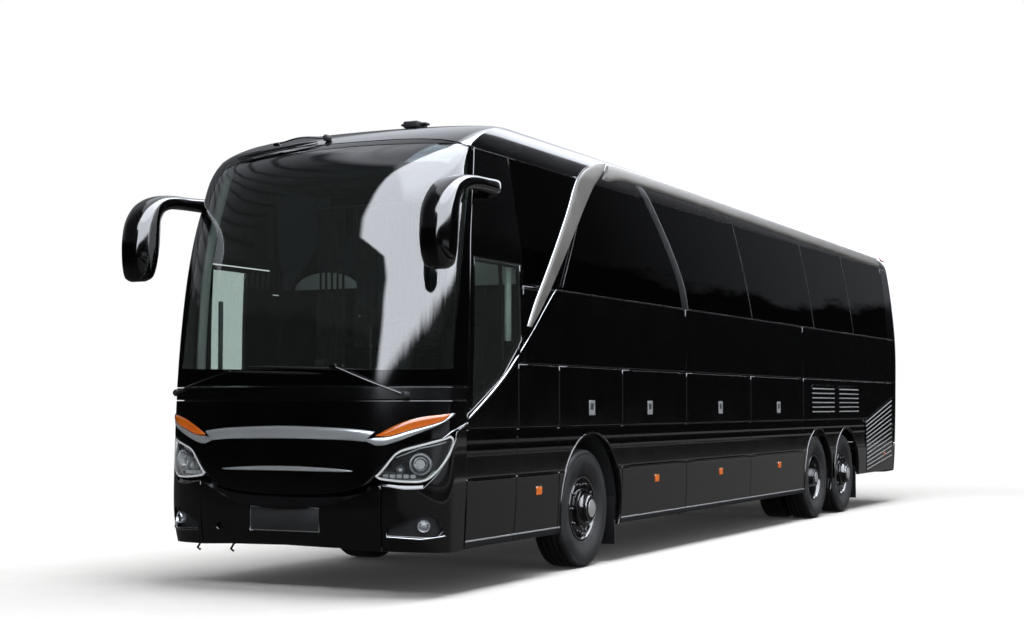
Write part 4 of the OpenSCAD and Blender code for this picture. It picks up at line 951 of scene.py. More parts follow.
def side_wall(where):
    mirror = where == RIGHT
    name = "left" if where == LEFT else "right"
    wall = Piece("side_wall_" + name, "coach_body", ["side_wall_" + name], "body_paint")

    def put(loop, holes=(), skin=side, finish_=paint, depth=.035, roll=.007, cell=WIDE):
        wall.add(panel(skin, loop, holes, depth, roll, cell), finish_, mirror)

    def put_low(loop):
        put(loop, skin=lower_side, cell=(.14, .0095))

    fe = [(float(front_edge(z)) - .003, z) for z in np.linspace(1.40, ROOF_LOW, 24)]
    foot, front = SKIRT + .003, 2.362
    if where == LEFT:
        put_low(chain([(S1_LOW + GAP, foot), (front, foot), (front, CREASE - GAP), (S1_HIGH + GAP, CREASE - GAP)]))
        put(chain([(S1_HIGH + GAP, CREASE + GAP), (front, CREASE + GAP), (2.359, 1.368), (2.30, 1.392),
                   (1.786, 1.650), (S1_HIGH + GAP, 1.904)]), cell=(.10, .05))
        put(chain(fe, [(1.508, ROOF_LOW), (ALINE + GAP, 2.64), (ALINE + GAP, 2.574), (2.234, 2.574),
                       (2.294, 1.402)]), cell=(.08, .06))
        put(chain([(ALINE + GAP, FLAP_TOP + GAP), (S1_HIGH - GAP, FLAP_TOP + GAP), (S1_HIGH - GAP, 1.916),
                   (1.436, 1.960), (1.436, 2.568), (ALINE + GAP, 2.568)]), cell=(.08, .06))
        put_low(chain([(S2 + GAP, foot), (S1_LOW - GAP, foot), (S1_HIGH - GAP, CREASE - GAP),
                       (S2 + GAP, CREASE - GAP)]))
        put(rect(S2 + GAP, S1_HIGH - GAP, CREASE + GAP, FLAP_TOP - GAP))
    else:
        put_low(rect(2.262, front, foot, CREASE - GAP))
        put(chain([(2.262, CREASE + GAP), (front, 1.26)], fe, [(1.508, ROOF_LOW), (1.304, 2.64),
                   (1.304, DOOR_TOP + .004), (2.262, DOOR_TOP + .004)]), cell=(.08, .06))
        low_part, high_part = split_low(S2 + GAP, 1.318)
        put_low(low_part)
        put(high_part)
    low_part, high_part = split_low(FLAPS[0] + GAP, S2 - GAP, arch_run=arch(0, foot))
    put_low(low_part)
    put(high_part)
    # waist band, between the flaps and the windows
    front_x = ALINE - GAP if where == LEFT else 1.318
    low, high, coarse = FLAP_TOP + GAP, WAIST - GAP, (.3, .08)
    put(rect(FLAPS[1] + GAP, front_x, low, high), cell=coarse)
    put(rect(FLAPS[3] + GAP if where == LEFT else MID_DOOR[0] + .006, FLAPS[1] - GAP, low, high), cell=coarse)
    if where == RIGHT:
        put(rect(MID_DOOR[1] - .002, MID_DOOR[0] + .002, WAIST - .026, high), cell=coarse)
    back = [(float(TAIL_EDGE(z)), z) for z in np.linspace(low, high, 8)]
    put(chain(back[::-1], [(back[0][0], low), (FLAPS[3] - GAP, low), (FLAPS[3] - GAP, high)]), cell=coarse)
    # behind the flaps: the drive and tag wheels share one opening, and the skirt rises towards the tail
    drive, tag = WHEELS[1:]
    rear_foot = SKIRT + .143
    mid_x, tight = (drive + tag) / 2, .605
    tag_back = [p for p in arch(tag, rear_foot, tight) if p[0] < mid_x - .045]
    drive_front = [p for p in arch(drive, foot, tight) if p[0] > mid_x + .045]
    edge = [(float(TAIL_EDGE(z)), z) for z in np.linspace(rear_foot, CREASE - GAP, 8)]
    put_low(chain([edge[0]], tag_back, [(mid_x - .012, .80), (mid_x + .012, .80)], drive_front,
                  [(FLAPS[3] - GAP, foot), (FLAPS[3] - GAP, CREASE - GAP)], edge[::-1][:-1]))
    edge = [(float(TAIL_EDGE(z)), z) for z in np.linspace(CREASE + GAP, FLAP_TOP - GAP, 6)]
    put(chain([edge[0], (FLAPS[3] - GAP, CREASE + GAP), (FLAPS[3] - GAP, FLAP_TOP - GAP)], edge[::-1][:-1]))
    # rolled lip round each arch
    for x, kept in ((0, lambda p: True), (drive, lambda p: p[0] > mid_x + .03),
                    (tag, lambda p: p[0] < mid_x - .03)):
        foot_z, r = (rear_foot if x == tag else foot), (ARCH_R if x == 0 else tight)
        lo, hi = ([p for p in arch(x, foot_z, r + by) if kept(p)] for by in (-.002, .020))
        wall.add(strip(lower_side, lo, hi, rise=.008, foot=.004, count=70, steps=8, flat=.7), moulding, mirror)
    # pillars behind the panes
    top_z, low_z = ROOF_LOW - .003, WAIST + .003
    back = [(float(TAIL_EDGE(z)), z) for z in np.linspace(low_z, top_z, 10)]
    put(chain(back[::-1], [(front_x - .01, low_z), (ALINE - .01, 2.62), (1.49, top_z)]),
        [*pane_loops(.045), quarter_loop(where, .045)], side.raised(-.016), frit, .04, .003, coarse)
    # tail end of the window band, flush with the panes
    put(chain(back[::-1], [(TAIL_PANE[1] - .006, low_z), (TAIL_PANE[0] - .006, top_z)]), cell=(.1, .08))
    latch(wall, .025, mirror)
    marker(wall, 1.11, .73, mirror)
    # pale sill strips: a painted highlight along the lower panels' edge
    sills = (((S1_LOW, 2.36), (S2, S1_LOW), (.655, S2), (-6.475, -6.54)) if where == LEFT
             else ((S2, 1.318), (.655, S2)))
    for x0, x1 in sills:
        sill_highlight_and_rubber(wall, min(x0, x1), max(x0, x1), mirror)
    # louvres over the drive wheels and the slatted grille at the rear corner
    for x0, x1 in ((-7.87, -6.86), (-9.10, -8.12)):
        put(rect(x0 - .02, x1 + .02, 1.335, 1.690), skin=side.raised(.001), finish_=moulding, depth=.004, roll=.001)
        for k in range(6):
            z = 1.352 + .0585 * k
            wall.add(strip(side, [(x0, z + .0075), (x1, z + .0075)], [(x0, z - .0075), (x1, z - .0075)], rise=.012,
                           count=3, steps=6), slat, mirror)
    grille = chain([(-9.475, 1.235), (-9.542, .496), (-10.979, .652), (-11.008, 1.546)])
    put(grille, skin=side.raised(.0015), finish_=moulding, depth=.004, roll=.001, cell=(.1, .05))
    for k in range(13):
        t = (k + .7) / 13.4
        a = grille[1] * (1 - t) + grille[0] * t
        b = grille[2] * (1 - t) + grille[3] * t
        a, b = a + [-.02, 0], b + [.02, 0]
        wall.add(strip(side, [a + [0, .009], b + [0, .009]], [a - [0, .009], b - [0, .009]], rise=.012, count=12,
                       steps=6), slat, mirror)
    marker(wall, -10.54, .73, mirror, None, .035, .025)
    marker(wall, -11.13, 3.62, mirror, red_lens, .10, .028)
    return wall.made()


for where in (LEFT, RIGHT):
    side_wall(where)


def side_panes(where):
    mirror = where == RIGHT
    name = "left" if where == LEFT else "right"
    panes = Piece("side_windows_" + name, "coach_body", ["side_windows_" + name], "dark_glass")
    for loop in pane_loops(.004):
        panes.add(panel(side, loop, depth=.007, roll=.0025, cell=(.3, .06)), dark_glass, mirror)
    panes.add(panel(side, quarter_loop(where, .004), depth=.007, roll=.0025, cell=(.2, .06)), dark_glass, mirror)
    panes.made()


side_panes(LEFT)
side_panes(RIGHT)
driver = Piece("driver_window", slot="clear_glass")
driver.add(panel(side, DRIVER, depth=.006, roll=.002, cell=(.08, .06)), clear_glass)
driver.made().visible_shadow = False
# frame of the driver's pane: a black rubber border and the sliding pane's post
driver_frame = Piece("driver_window_frame", slot="black_plastic")
driver_frame.add(panel(side.raised(-.010), shrunk(DRIVER, -.02), [shrunk(DRIVER, .022)], depth=.02, roll=.002,
                       cell=(.1, .06)), rubber)
driver_frame.add(panel(side.raised(-.010), rect(1.745, 1.772, 1.69, 2.55), depth=.02, roll=.002), rubber)
driver_frame.made()


# ---------- silver trim of the sides ----------

def line_trim(piece, path, half, rise, finish_, mirror, skin=side, count=80, taper=0):
    """Thin domed strip along a path on the side; its ends may taper to a point."""
    p = resample(spline(path, .05), count)
    run = np.gradient(p, axis=0)
    run /= np.linalg.norm(run, axis=1, keepdims=True)
    t = np.linspace(0, 1, count)
    w = half * np.clip(np.minimum(t, 1 - t) / max(taper, 1e-6), .12, 1) if taper else half + 0 * t
    n = np.stack([-run[:, 1], run[:, 0]], 1) * w[:, None]
    piece.add(strip(skin, p + n, p - n, rise=rise, foot=.003, count=count, steps=6), finish_, mirror)


blade_front = [(-.43, 3.648), (-.137, 3.570), (.071, 3.477), (.199, 3.372), (.361, 3.179), (.484, 3.037), (.735, 2.758),
               (.987, 2.479), (1.145, 2.306), (1.25, 2.17), (1.322, 2.078)]
blade_back = [(-.80, 3.700), (-.742, 3.682), (-.50, 3.565), (-.248, 3.427), (.006, 3.218), (.166, 3.069), (.46, 2.79),
              (.771, 2.494), (.943, 2.337), (1.11, 2.19), (1.262, 2.072)]
rail_high = [(-.789, 3.686), (-.965, 3.706), (-1.6, 3.706), (-3.0, 3.70), (-6.8, 3.655), (-10.68, 3.61)]
rail_low = [(-.484, 3.512), (-.60, 3.505), (-.932, 3.556), (-1.6, 3.566), (-3.0, 3.56), (-6.8, 3.51), (-10.68, 3.46)]
for where, name in ((LEFT, "left"), (RIGHT, "right")):
    mirror = where == RIGHT
    trims = Piece("silver_side_trim_" + name, "coach_body", slot="machined_steel")
    trims.add(strip(side, spline(blade_front), spline(blade_back), rise=.016, foot=.003, count=110, steps=14, flat=.7),
              silver, mirror)
    line_trim(trims, (np.array(blade_front) + [.002, 0]).tolist(), .006, .018, chrome, mirror, count=110, taper=.04)
    trims.add(strip(side.raised(.005), spline(rail_high, .1), spline(rail_low, .1), rise=.016, foot=.012, count=140,
                    steps=12, flat=.6),
              silver, mirror)
    if where == LEFT:
        line_trim(trims, [(2.344, 1.329), (2.061, 1.473), (1.746, 1.652), (1.484, 1.838)], .011, .006, bright, mirror,
                  taper=.05)
        line_trim(trims, [(1.458, 1.860), (1.200, 2.057), (1.0, 2.222), (.804, 2.375), (.735, 2.410), (.62, 2.413)],
                  .005, .005, bright, mirror, taper=.03)
        line_trim(trims, [(1.430, 2.383), (1.26, 2.384), (1.095, 2.384)], .004, .004, bright, mirror, taper=.1)
        line_trim(trims, [(2.360, 1.292), (2.50, 1.246)], .008, .005, bright, mirror, count=10)
        trims.add(strip(nose, [(nose_edge(1.300), 1.300), (1.47, 1.256), (1.36, 1.237), (1.288, 1.212), (1.21, 1.186)],
                        [(nose_edge(1.286), 1.286), (1.47, 1.244), (1.36, 1.226), (1.288, 1.203), (1.21, 1.180)],
                        rise=.006, count=40), bright)
    line_trim(trims, [(.60, WAIST + .002), (-3, WAIST + .002), (-7, WAIST + .002), (-10.9, WAIST + .002)],
              .0035, .004, bright, mirror, count=40)
    for a_, b_ in PANE_EDGES[1:]:
        line_trim(trims, [(a_, ROOF_LOW - .01), ((a_ + b_) / 2, 2.95), (b_, WAIST + .02)], .012, .003, satin, mirror,
                  count=30)
    pillar = spline([(-1.40, 3.56), *PILLAR[1:-1], (-2.362, WAIST + .01)], .05)
    trims.add(strip(side.raised(.001), pillar + [.10, 0], pillar - [.085, 0], rise=.005, foot=.003, count=60, steps=8,
                    flat=.5), satin, mirror)
    trims.made()


# ---------- luggage flaps ----------

def flap(where, number, x0, x1):
    mirror = where == RIGHT
    name = f"luggage_flap_{'left' if where == LEFT else 'right'}_{number}"
    leaf = Piece(name, name, [name], "body_paint")
    low_part, _ = split_low(x0 + GAP + .001, x1 - GAP - .001, SKIRT + .010)
    leaf.add(panel(lower_side, low_part, depth=.018, roll=.005, cell=(.3, .0095)), paint, mirror)
    leaf.add(panel(side, rect(x0 + GAP + .001, x1 - GAP - .001, CREASE + GAP, 1.760), depth=.018, roll=.007,
                   cell=WIDE), paint, mirror)
    leaf.add(panel(side.raised(-.019), rect(x0 + .02, x1 - .02, SKIRT + .03, 1.745), depth=.018, roll=.003, cell=WIDE),
             plastic, mirror)
    x_latch = (x0 + x1) / 2 + (.16 if number == 1 else 0)
    latch(leaf, x_latch, mirror)
    marker(leaf, x1 - .855 if number == 1 else (x1 - 1.033 if number == 2 else x1 - 1.054), .73, mirror)
    # pale sill strip: a painted highlight along the flap's lower edge
    sill_highlight_and_rubber(leaf, x0 + .004, x1 - .004, mirror)
    return leaf.made()


for where in (LEFT, RIGHT):
    ends = FLAPS if where == LEFT else FLAPS[:3] + [MID_DOOR[0] + .012]
    for k in range(3):
        flap(where, k + 1, ends[k + 1], ends[k])

# ---------- doors on the right side ----------

def door_leaf(name, x0, x1, top, holes, pin_x):
    """Plug door's leaf with its chrome grip, and the lugs and pins that its arms hold at pin_x."""
    leaf = Piece(name, name, [name], "body_paint")
    leaf.add(panel(side, rect(x0, x1, SKIRT + .02, top), holes, depth=.036, roll=.005, cell=(.1, .05)), paint, True)
    leaf.add(panel(side.raised(.004), rect(x0 + .06, x0 + .085, 1.15, 1.65), depth=.012, roll=.004,
                   cell=(.05, .05)), chrome, True)
    for z in (.76, 1.56):
        for dz in (-.042, .030):
            leaf.add(block((pin_x - .02, 1.115, z + dz), (pin_x + .02, 1.236, z + dz + .012), .002), machined, True)
        leaf.add(tube([(pin_x, 1.150, z + dz) for dz in (-.042, 0, .042)], .0115, 16), machined, True)
    return leaf


x1, x0 = FRONT_DOOR[0] - LIFT_OFF, FRONT_DOOR[1] + LIFT_OFF
pane = rect(x0 + .40, x1 - .04, 1.60, DOOR_TOP - .05)
door = door_leaf("front_door", x0, x1, DOOR_TOP - LIFT_OFF, [pane], FRONT_DOOR[0] - .57)
door.add(panel(side.raised(-.037), rect(x0 + .02, x1 - .02, SKIRT + .04, 1.66), depth=.002, roll=.001,
               cell=(.3, .1)), plastic, True)
door.made()
door_pane = Piece("front_door_glass", "front_door", ["front_door_glass"], "clear_glass")
door_pane.add(panel(side.raised(-.006), shrunk(pane, -.006), depth=.006, roll=.001, cell=(.1, .06)), clear_glass, True)
door_pane.made().visible_shadow = False
door_leaf("mid_door", MID_DOOR[1] + LIFT_OFF, MID_DOOR[0] - LIFT_OFF, WAIST - .038, (), MID_DOOR[0] - .31).made()

# ---------- roof ----------

LEVELS = [.2, .4, .6, .8, 1]
fine_z = np.linspace(3.58, 3.84, 400)
fine_s = np.concatenate([[0], np.cumsum(np.hypot(np.diff(half_w(fine_z)), np.diff(fine_z)))])
upper_z = np.interp(np.linspace(0, fine_s[-1], 16), fine_s, fine_z)[1:]
nose_us = np.linspace(-ROUND, ROUND, 61)
side_xs = np.linspace(0, 1, 60)[1:-1]
tail_us = np.linspace(-TAIL_ROUND, TAIL_ROUND, 41)


def roof_ring(level):
    """Ring of the roof: level 0 is its lower edge, 1 the height 3.58, and above 1 a height itself."""
    def z_of(low):
        return low + (3.58 - low) * level if level <= 1 else level + 0 * low
    zn = z_of(np.maximum(3.456, screen_high(half_w(3.5) * np.sin(np.abs(nose_us) / ROUND * np.pi / 2)) + .008))
    front = nose_place(nose_us, zn)
    back = tail_place(tail_us, z_of(3.456 + 0 * tail_us))
    s = side_xs[:, None]
    left = front[-1] * (1 - s) + back[-1] * s
    right = back[0] * (1 - s) + front[0] * s
    left[:, 1], right[:, 1] = half_w(left[:, 2]), -half_w(right[:, 2])
    return np.vstack([front, left, back[::-1], right])


rings = [roof_ring(v) for v in [0, *LEVELS, *upper_z]]
rim_ring = rings[-1]
crown = []
for f in (.96, .88, .76, .6, .4, .2, .03):
    r = rim_ring * [1, f, 1]
    r[:, 2] += .018 * (1 - f ** 2)
    r[:, 0] = np.clip(rim_ring[:, 0], None, 9) - np.where(rim_ring[:, 0] > 0, (1 - f) * .25,
                                                          0) * np.sign(rim_ring[:, 0])
    crown.append(r)
inner = [r * [1, .965, 1] - [0, 0, .04] for r in (rings + crown)]
for r, o in zip(inner, rings + crown):
    r[:, 0] = np.clip(o[:, 0], float(tail_x(3.6)) + .25, 9) - np.where(o[:, 0] > .2, .06, 0)
HATCHES = [-1.70, -8.60]
roof = Piece("roof", "coach_body", ["roof"], "body_paint")
roof.add(loft([*inner[::-1], *rings, *crown]), paint)
roof_obj = roof.made(sharp=50)
# openings under the hatches
for x in HATCHES:
    cutter = Piece("hatch_cutter", "coach_body")
    cutter.add(block((x - .38, -.38, 3.6), (x + .38, .38, 4.0), .03, 3), paint)
    tool = cutter.made()
    cut = roof_obj.modifiers.new("hatch", "BOOLEAN")
    cut.object, cut.operation, cut.solver = tool, "DIFFERENCE", "EXACT"
    bpy.context.view_layer.update()
    mesh = bpy.data.meshes.new_from_object(roof_obj.evaluated_get(bpy.context.evaluated_depsgraph_get()))
    roof_obj.modifiers.clear()
    roof_obj.data = mesh
    bpy.data.objects.remove(tool)

for body, x in (("roof_hatch_front", HATCHES[0]), ("roof_hatch_rear", HATCHES[1])):
    hatch = Piece(body, body, [body], "black_plastic")
    hatch.add(block((x - .372, -.372, 3.812), (x + .372, .372, 3.848), .012, 3), plastic)
    hatch.add(block((x - .30, -.30, 3.846), (x + .30, .30, 3.855), .005, 2), dark_glass)
    hatch.made()
unit = Piece("roof_air_unit", "coach_body", ["roof_air_unit"], "black_plastic")
section = [(-.62, 3.842), (-.60, 3.858), (-.55, 3.870), (-.30, 3.879), (.30, 3.879), (.55, 3.870), (.60, 3.858),
           (.62, 3.842)]
unit.add(loft([[(x, y * s, 3.842 + (z - 3.842) * h) for y, z in section]
               for x, s, h in ((-6.30, .93, .1), (-6.27, .97, .7), (-6.20, 1, 1), (-3.80, 1, 1), (-3.73, .97, .7),
                               (-3.70, .93, .1))]),
         satin)
for k in range(22):
    x = -6.12 + .105 * k
    unit.both(block((x, .12, 3.8775), (x + .06, .42, 3.8795), .0008, 1), plastic)
unit.made()
camera_box = Piece("roof_front_camera", slot="black_plastic")
camera_box.add(block((1.42, .25, 3.745), (1.60, .39, 3.80), .012, 3), plastic)
camera_box.add(block((1.47, .20, 3.77), (1.55, .44, 3.79), .008, 2), plastic)
camera_box.made()

# ---------- tail ----------

LID, REAR_GLASS = (.880, 1.900), (2.430, 3.330)


def tail_rect(y0, y1, z0, z1):
    u0, u1 = (float(np.interp(abs(y) / 1.275, tail_t, tail_s) * np.sign(y)) for y in (y0, y1))
    return rect(u0, u1, z0, z1)


lamp_rect = tail_rect(1.045, 1.215, 1.000, 1.700)
rear = Piece("rear_wall", "coach_body", ["rear_wall"], "body_paint")
glass_rect = tail_rect(-1.010, 1.010, *REAR_GLASS)
lid_rect = tail_rect(-.95, .95, LID[0] - .004, LID[1])
u_end = TAIL_ROUND
rear.add(panel(tail, chain([(-u_end, .884), (float(lid_rect[0][0]), .884), (float(lid_rect[0][0]), LID[1]),
                            (float(lid_rect[1][0]), LID[1]), (float(lid_rect[1][0]), .884), (u_end, .884),
                            (u_end, 3.448), (-u_end, 3.448)]),
               [glass_rect, lamp_rect, lamp_rect * [-1, 1]], depth=.045, roll=.005, cell=(.06, .08)), paint)
rear.add(panel(tail.raised(-.046), chain(lid_rect * [1.02, 1]), depth=.008, roll=.001, cell=(.1, .1)), plastic)
rear.made()
rear_pane = Piece("rear_window", "coach_body", ["rear_window"], "dark_glass")
rear_pane.add(panel(tail, shrunk(glass_rect, .005), depth=.007, roll=.0025, cell=(.06, .08)), dark_glass)
rear_pane.made()
lid = Piece("engine_lid", "engine_lid", ["engine_lid"], "body_paint")
lid_loop = tail_rect(-.942, .942, LID[0] + .004, LID[1] - .008)
lid.add(panel(tail, lid_loop, [tail_rect(-.34, .34, 1.00, 1.24)], depth=.03, roll=.006, cell=(.06, .06)), paint)
lid.add(panel(tail.raised(-.018), tail_rect(-.36, .36, .98, 1.26), depth=.006, roll=.001, cell=(.1, .1)), moulding)
for k in range(9):
    z = 1.40 + .045 * k
    lid.add(strip(tail, tail_rect(-.75, .75, z, z + .02)[:2], tail_rect(-.75, .75, z, z + .02)[3:1:-1], rise=.008,
                  count=24, steps=6), satin)
lid.add(panel(tail.raised(.004), tail_rect(-.07, .07, .915, .955), depth=.008, roll=.004, cell=(.05, .03)), chrome)
lid.made()
rear_bumper = Piece("rear_bumper", "coach_body", ["rear_bumper"], "body_paint")
rear_bumper.add(panel(tail, chain([(-u_end, .48), (-1.1, .44), (-.8, .43), (.8, .43), (1.1, .44), (u_end, .48),
                                   (u_end, .872), (-u_end, .872)]),
                      [tail_rect(s * .95 - .12, s * .95 + .12, .58, .64) for s in (-1, 1)], depth=.045, roll=.006,
                      cell=(.06, .06)), paint)
rear_bumper.add(panel(tail.raised(-.02), tail_rect(.80, 1.10, .56, .66), depth=.006, roll=.001), red_lens)
rear_bumper.add(panel(tail.raised(-.02), tail_rect(-1.10, -.80, .56, .66), depth=.006, roll=.001), red_lens)
rear_bumper.made()
tails = Piece("tail_lamps", "coach_body", ["tail_lamps"], "tail_lamp")
for z0, z1, f in ((1.005, 1.22, red_lens), (1.226, 1.36, orange_lens), (1.366, 1.47, lamp_white),
                  (1.476, 1.695, red_lens)):
    tails.both(panel(tail.raised(.001), tail_rect(1.050, 1.210, z0, z1), depth=.03, roll=.008, cell=(.03, .03)), f)
tails.both(panel(tail.raised(-.032), tail_rect(1.047, 1.213, 1.002, 1.698), depth=.01, roll=.001), lamp_bowl)
tails.made()


# ---------- mirrors and wipers ----------

def oval(centre, a, b, half_a, half_b, power=2.6, n=28):
    """Rounded ring about a centre, in the plane of a and b."""
    t = np.linspace(0, 2 * np.pi, n, endpoint=False)
    c, s = np.cos(t), np.sin(t)
    ca, sb = np.sign(c) * np.abs(c) ** (2 / power), np.sign(s) * np.abs(s) ** (2 / power)
    return np.array(centre) + half_a * ca[:, None] * np.array(a) + half_b * sb[:, None] * np.array(b)


def mirror_shapes():
    y = 1.407
    # (x, z, way across the arm in the x-z plane, half breadth in y, half depth): wall, arm, elbow, head, foot
    stations = [((1.90, 1.235, 3.105), (.15, -.99), .035, .05), ((2.00, 1.295, 3.115), (.15, -.99), .052, .060),
                ((2.12, 1.375, 3.118), (.05, -1), .062, .058), ((2.35, 1.395, 3.112), (0, -1), .070, .052),
                ((2.58, 1.390, 3.100), (-.10, -1), .085, .056), ((2.77, 1.380, 3.058), (-.35, -.94), .105, .070),
                ((2.89, 1.372, 2.98), (-.75, -.66), .122, .096), ((2.950, 1.368, 2.88), (-.97, -.22), .132, .122),
                ((2.972, 1.367, 2.75), (-1, -.05), .135, .134), ((2.982, 1.367, 2.62), (-1, 0), .131, .128),
                ((2.985, 1.370, 2.51), (-1, .04), .118, .114), ((2.985, 1.374, 2.445), (-1, .08), .098, .092),
                ((2.984, 1.378, 2.418), (-1, .1), .05, .048)]
    rings = []
    for centre, way, wide, deep in stations:
        w = np.array([way[0], 0, way[1]]) / np.hypot(*way)
        rings.append(oval(centre, (0, 1, 0), w, wide, deep, 2.8))
    return np.array(rings)


mirror_rings = mirror_shapes()
long_lines = [resample(spline(line, .02), 64) for line in mirror_rings.transpose(1, 0, 2)]
mirror_skin = loft(np.array(long_lines).transpose(1, 0, 2))
for where, name in ((LEFT, "left"), (RIGHT, "right")):
    arm = Piece("mirror_" + name, "coach_body", ["mirror_" + name], "body_paint")
    arm.add(mirror_skin, paint, where == RIGHT)
    # seam between the body of the head and its cap, and the pane that looks back
    arm.add(block((2.8395, 1.310, 2.66), (2.846, 1.425, 2.84), .0015, 2), reflector, where == RIGHT)
    arm.add(block((2.858, 1.315, 2.53), (2.864, 1.425, 2.63), .0015, 2), reflector, where == RIGHT)
    arm.made()


def over_glass(y, z, lift):
    return nose.raised(lift).place(np.array(nose_u(np.array(y), np.array(z))), np.array(float(z)))


def along_glass(a, b, lift):
    """Run over the windscreen from a to b, held off it by lift."""
    return np.array([over_glass(a[0] + (b[0] - a[0]) * t, a[1] + (b[1] - a[1]) * t, lift)
                     for t in np.linspace(0, 1, 24)])


wipers = Piece("wipers", "coach_body", ["wipers"], "black_plastic")
ARMS = [([(-1.14, 1.531), (-.82, 1.606), (-.515, 1.688)], (-.515, 1.691), (.327, 1.668)),
        ([(.991, 1.508), (.73, 1.612), (.444, 1.724)], (.699, 1.695), (-.336, 1.728)),
        ([(-.072, 3.560), (-.28, 3.540), (-.47, 3.500)], (-.10, 3.520), (-.828, 3.430))]
for points, a, b in ARMS:
    path = [over_glass(y, z, lift) for (y, z), lift in zip(points, (.030, .062, .052))]
    path = spline(path, .03)
    wipers.add(tube(path, np.linspace(.013, .007, len(path)), 10, .8), moulding)
    wipers.add(moved(lathe([(0, -.03), (.026, -.03), (.028, .02), (.020, .034), (0, .036)], 32), about("z", -90),
                     path[0] - [.012, 0, 0]), plastic)
    blade = along_glass(a, b, .030)
    wipers.add(tube(blade, .011 * np.clip(np.sin(np.linspace(.15, 2.99, 24)) * 1.6, .3, 1), 8), rubber)
    foot = along_glass(a, b, .012)
    wipers.add(tube(foot, .0045, 6), rubber)
    wipers.add(block(path[-1] - [.022, .03, .012], path[-1] + [.008, .03, .012], .004), moulding)
wipers.made()

# ---------- wheels ----------

TYRE_R, RIM_R, HALF = .522, .286, .149


def tyre_wave(angle, r, y):
    """Tread: slots across the shoulders."""
    turn = (angle / (2 * np.pi) * 60) % 1
    on_tread = (r > TYRE_R - .012) & (np.abs(y) < .128)
    shoulder = on_tread & (np.abs(y) > .095)
    slot = np.clip(1 - np.abs(turn - .5) / .16, 0, 1)
    return r - np.where(shoulder, .009 * np.minimum(slot * 2, 1), 0)


def tread_profile():
    ribs = []
    for c in (-.082, -.028, .028, .082):
        ribs += [(TYRE_R - .001, c - .0075), (TYRE_R - .014, c - .0045), (TYRE_R - .014, c + .0045),
                 (TYRE_R - .001, c + .0075)]
    outer = [(TYRE_R - .0045, -.118), (TYRE_R - .002, -.10), *ribs, (TYRE_R - .002, .10), (TYRE_R - .0045, .118)]
    wall = [(TYRE_R - .010, .1275), (TYRE_R - .020, .134), (TYRE_R - .034, .1395), (TYRE_R - .040, .1385),
            (TYRE_R - .060, .1445),
            (TYRE_R - .075, .1475), (.420, .1485), (.392, .1480), (.388, .1462), (.345, .1390), (.341, .1360),
            (.318, .1270),
            (.304, .1205), (.301, .1165), (RIM_R + .002, .1095)]
    return [(r, -y) for r, y in wall[::-1]] + outer + wall + [(RIM_R + .002, .06), (RIM_R + .012, 0),
                                                              (RIM_R + .002, -.06)]


tyre_shape = lathe(tread_profile(), 180, tyre_wave)


def bolts(ring_r, y, count, r, height, finish_, piece, phase=0):
    """Wheel nuts: each on its washer with a domed cap."""
    nut = lathe([(0, -.006), (r * 1.25, -.006), (r * 1.25, .001), (r, .003), (r, height), (r * .8, height + .003),
                 (0, height + .003)], 12)
    for k in range(count):
        t = phase + 2 * math.pi * k / count
        piece.add(moved(nut, None, (ring_r * math.cos(t), y, ring_r * math.sin(t))), finish_)


def single_wheel_shapes(piece):
    """Steered or tag wheel: deep dark disc, a stepped cover that stands proud, silver ring and bare centre."""
    piece.add(lathe([(RIM_R, -.109), (RIM_R, .109), (.281, .1185), (.270, .1190), (.262, .108), (.252, .082),
                     (.232, .096),
                     (.205, .107), (.150, .107), (.150, .086), (.200, .086), (.240, .062), (.268, .030), (.270, -.09),
                     (.276, -.109)], 96), rim_black)
    piece.add(lathe([(.2700, .1188), (.2735, .1200), (.2790, .1196), (.2770, .1180)], 96), bright)
    piece.add(lathe([(.0, .10), (.172, .10), (.176, .118), (.170, .140), (.158, .1465), (.132, .150), (.124, .165),
                     (.120, .196),
                     (.112, .204), (.0, .206)], 96), rim_black)
    piece.add(lathe([(.0, .19), (.105, .19), (.1085, .2030), (.100, .2075), (.0, .2090)], 96), hub_satin)
    piece.add(lathe([(.1075, .2010), (.1125, .2030), (.1120, .2052), (.1075, .2055)], 96), bright)
    piece.add(lathe([(.0, .203), (.072, .203), (.077, .2095), (.072, .2135), (.060, .2130), (.056, .2142), (.0, .2165)],
                    60), slat)
    bolts(.215, .104, 10, .014, .020, rim_black, piece)
    for k in range(8):
        t = 2 * math.pi * (k + .5) / 8
        hole = moved(lathe([(0, -.002), (.017, -.002), (.017, .0015), (.012, .0015), (0, -.0005)], 24), None,
                     (.248 * math.cos(t), .0905, .248 * math.sin(t)))
        piece.add(hole, lamp_bowl)


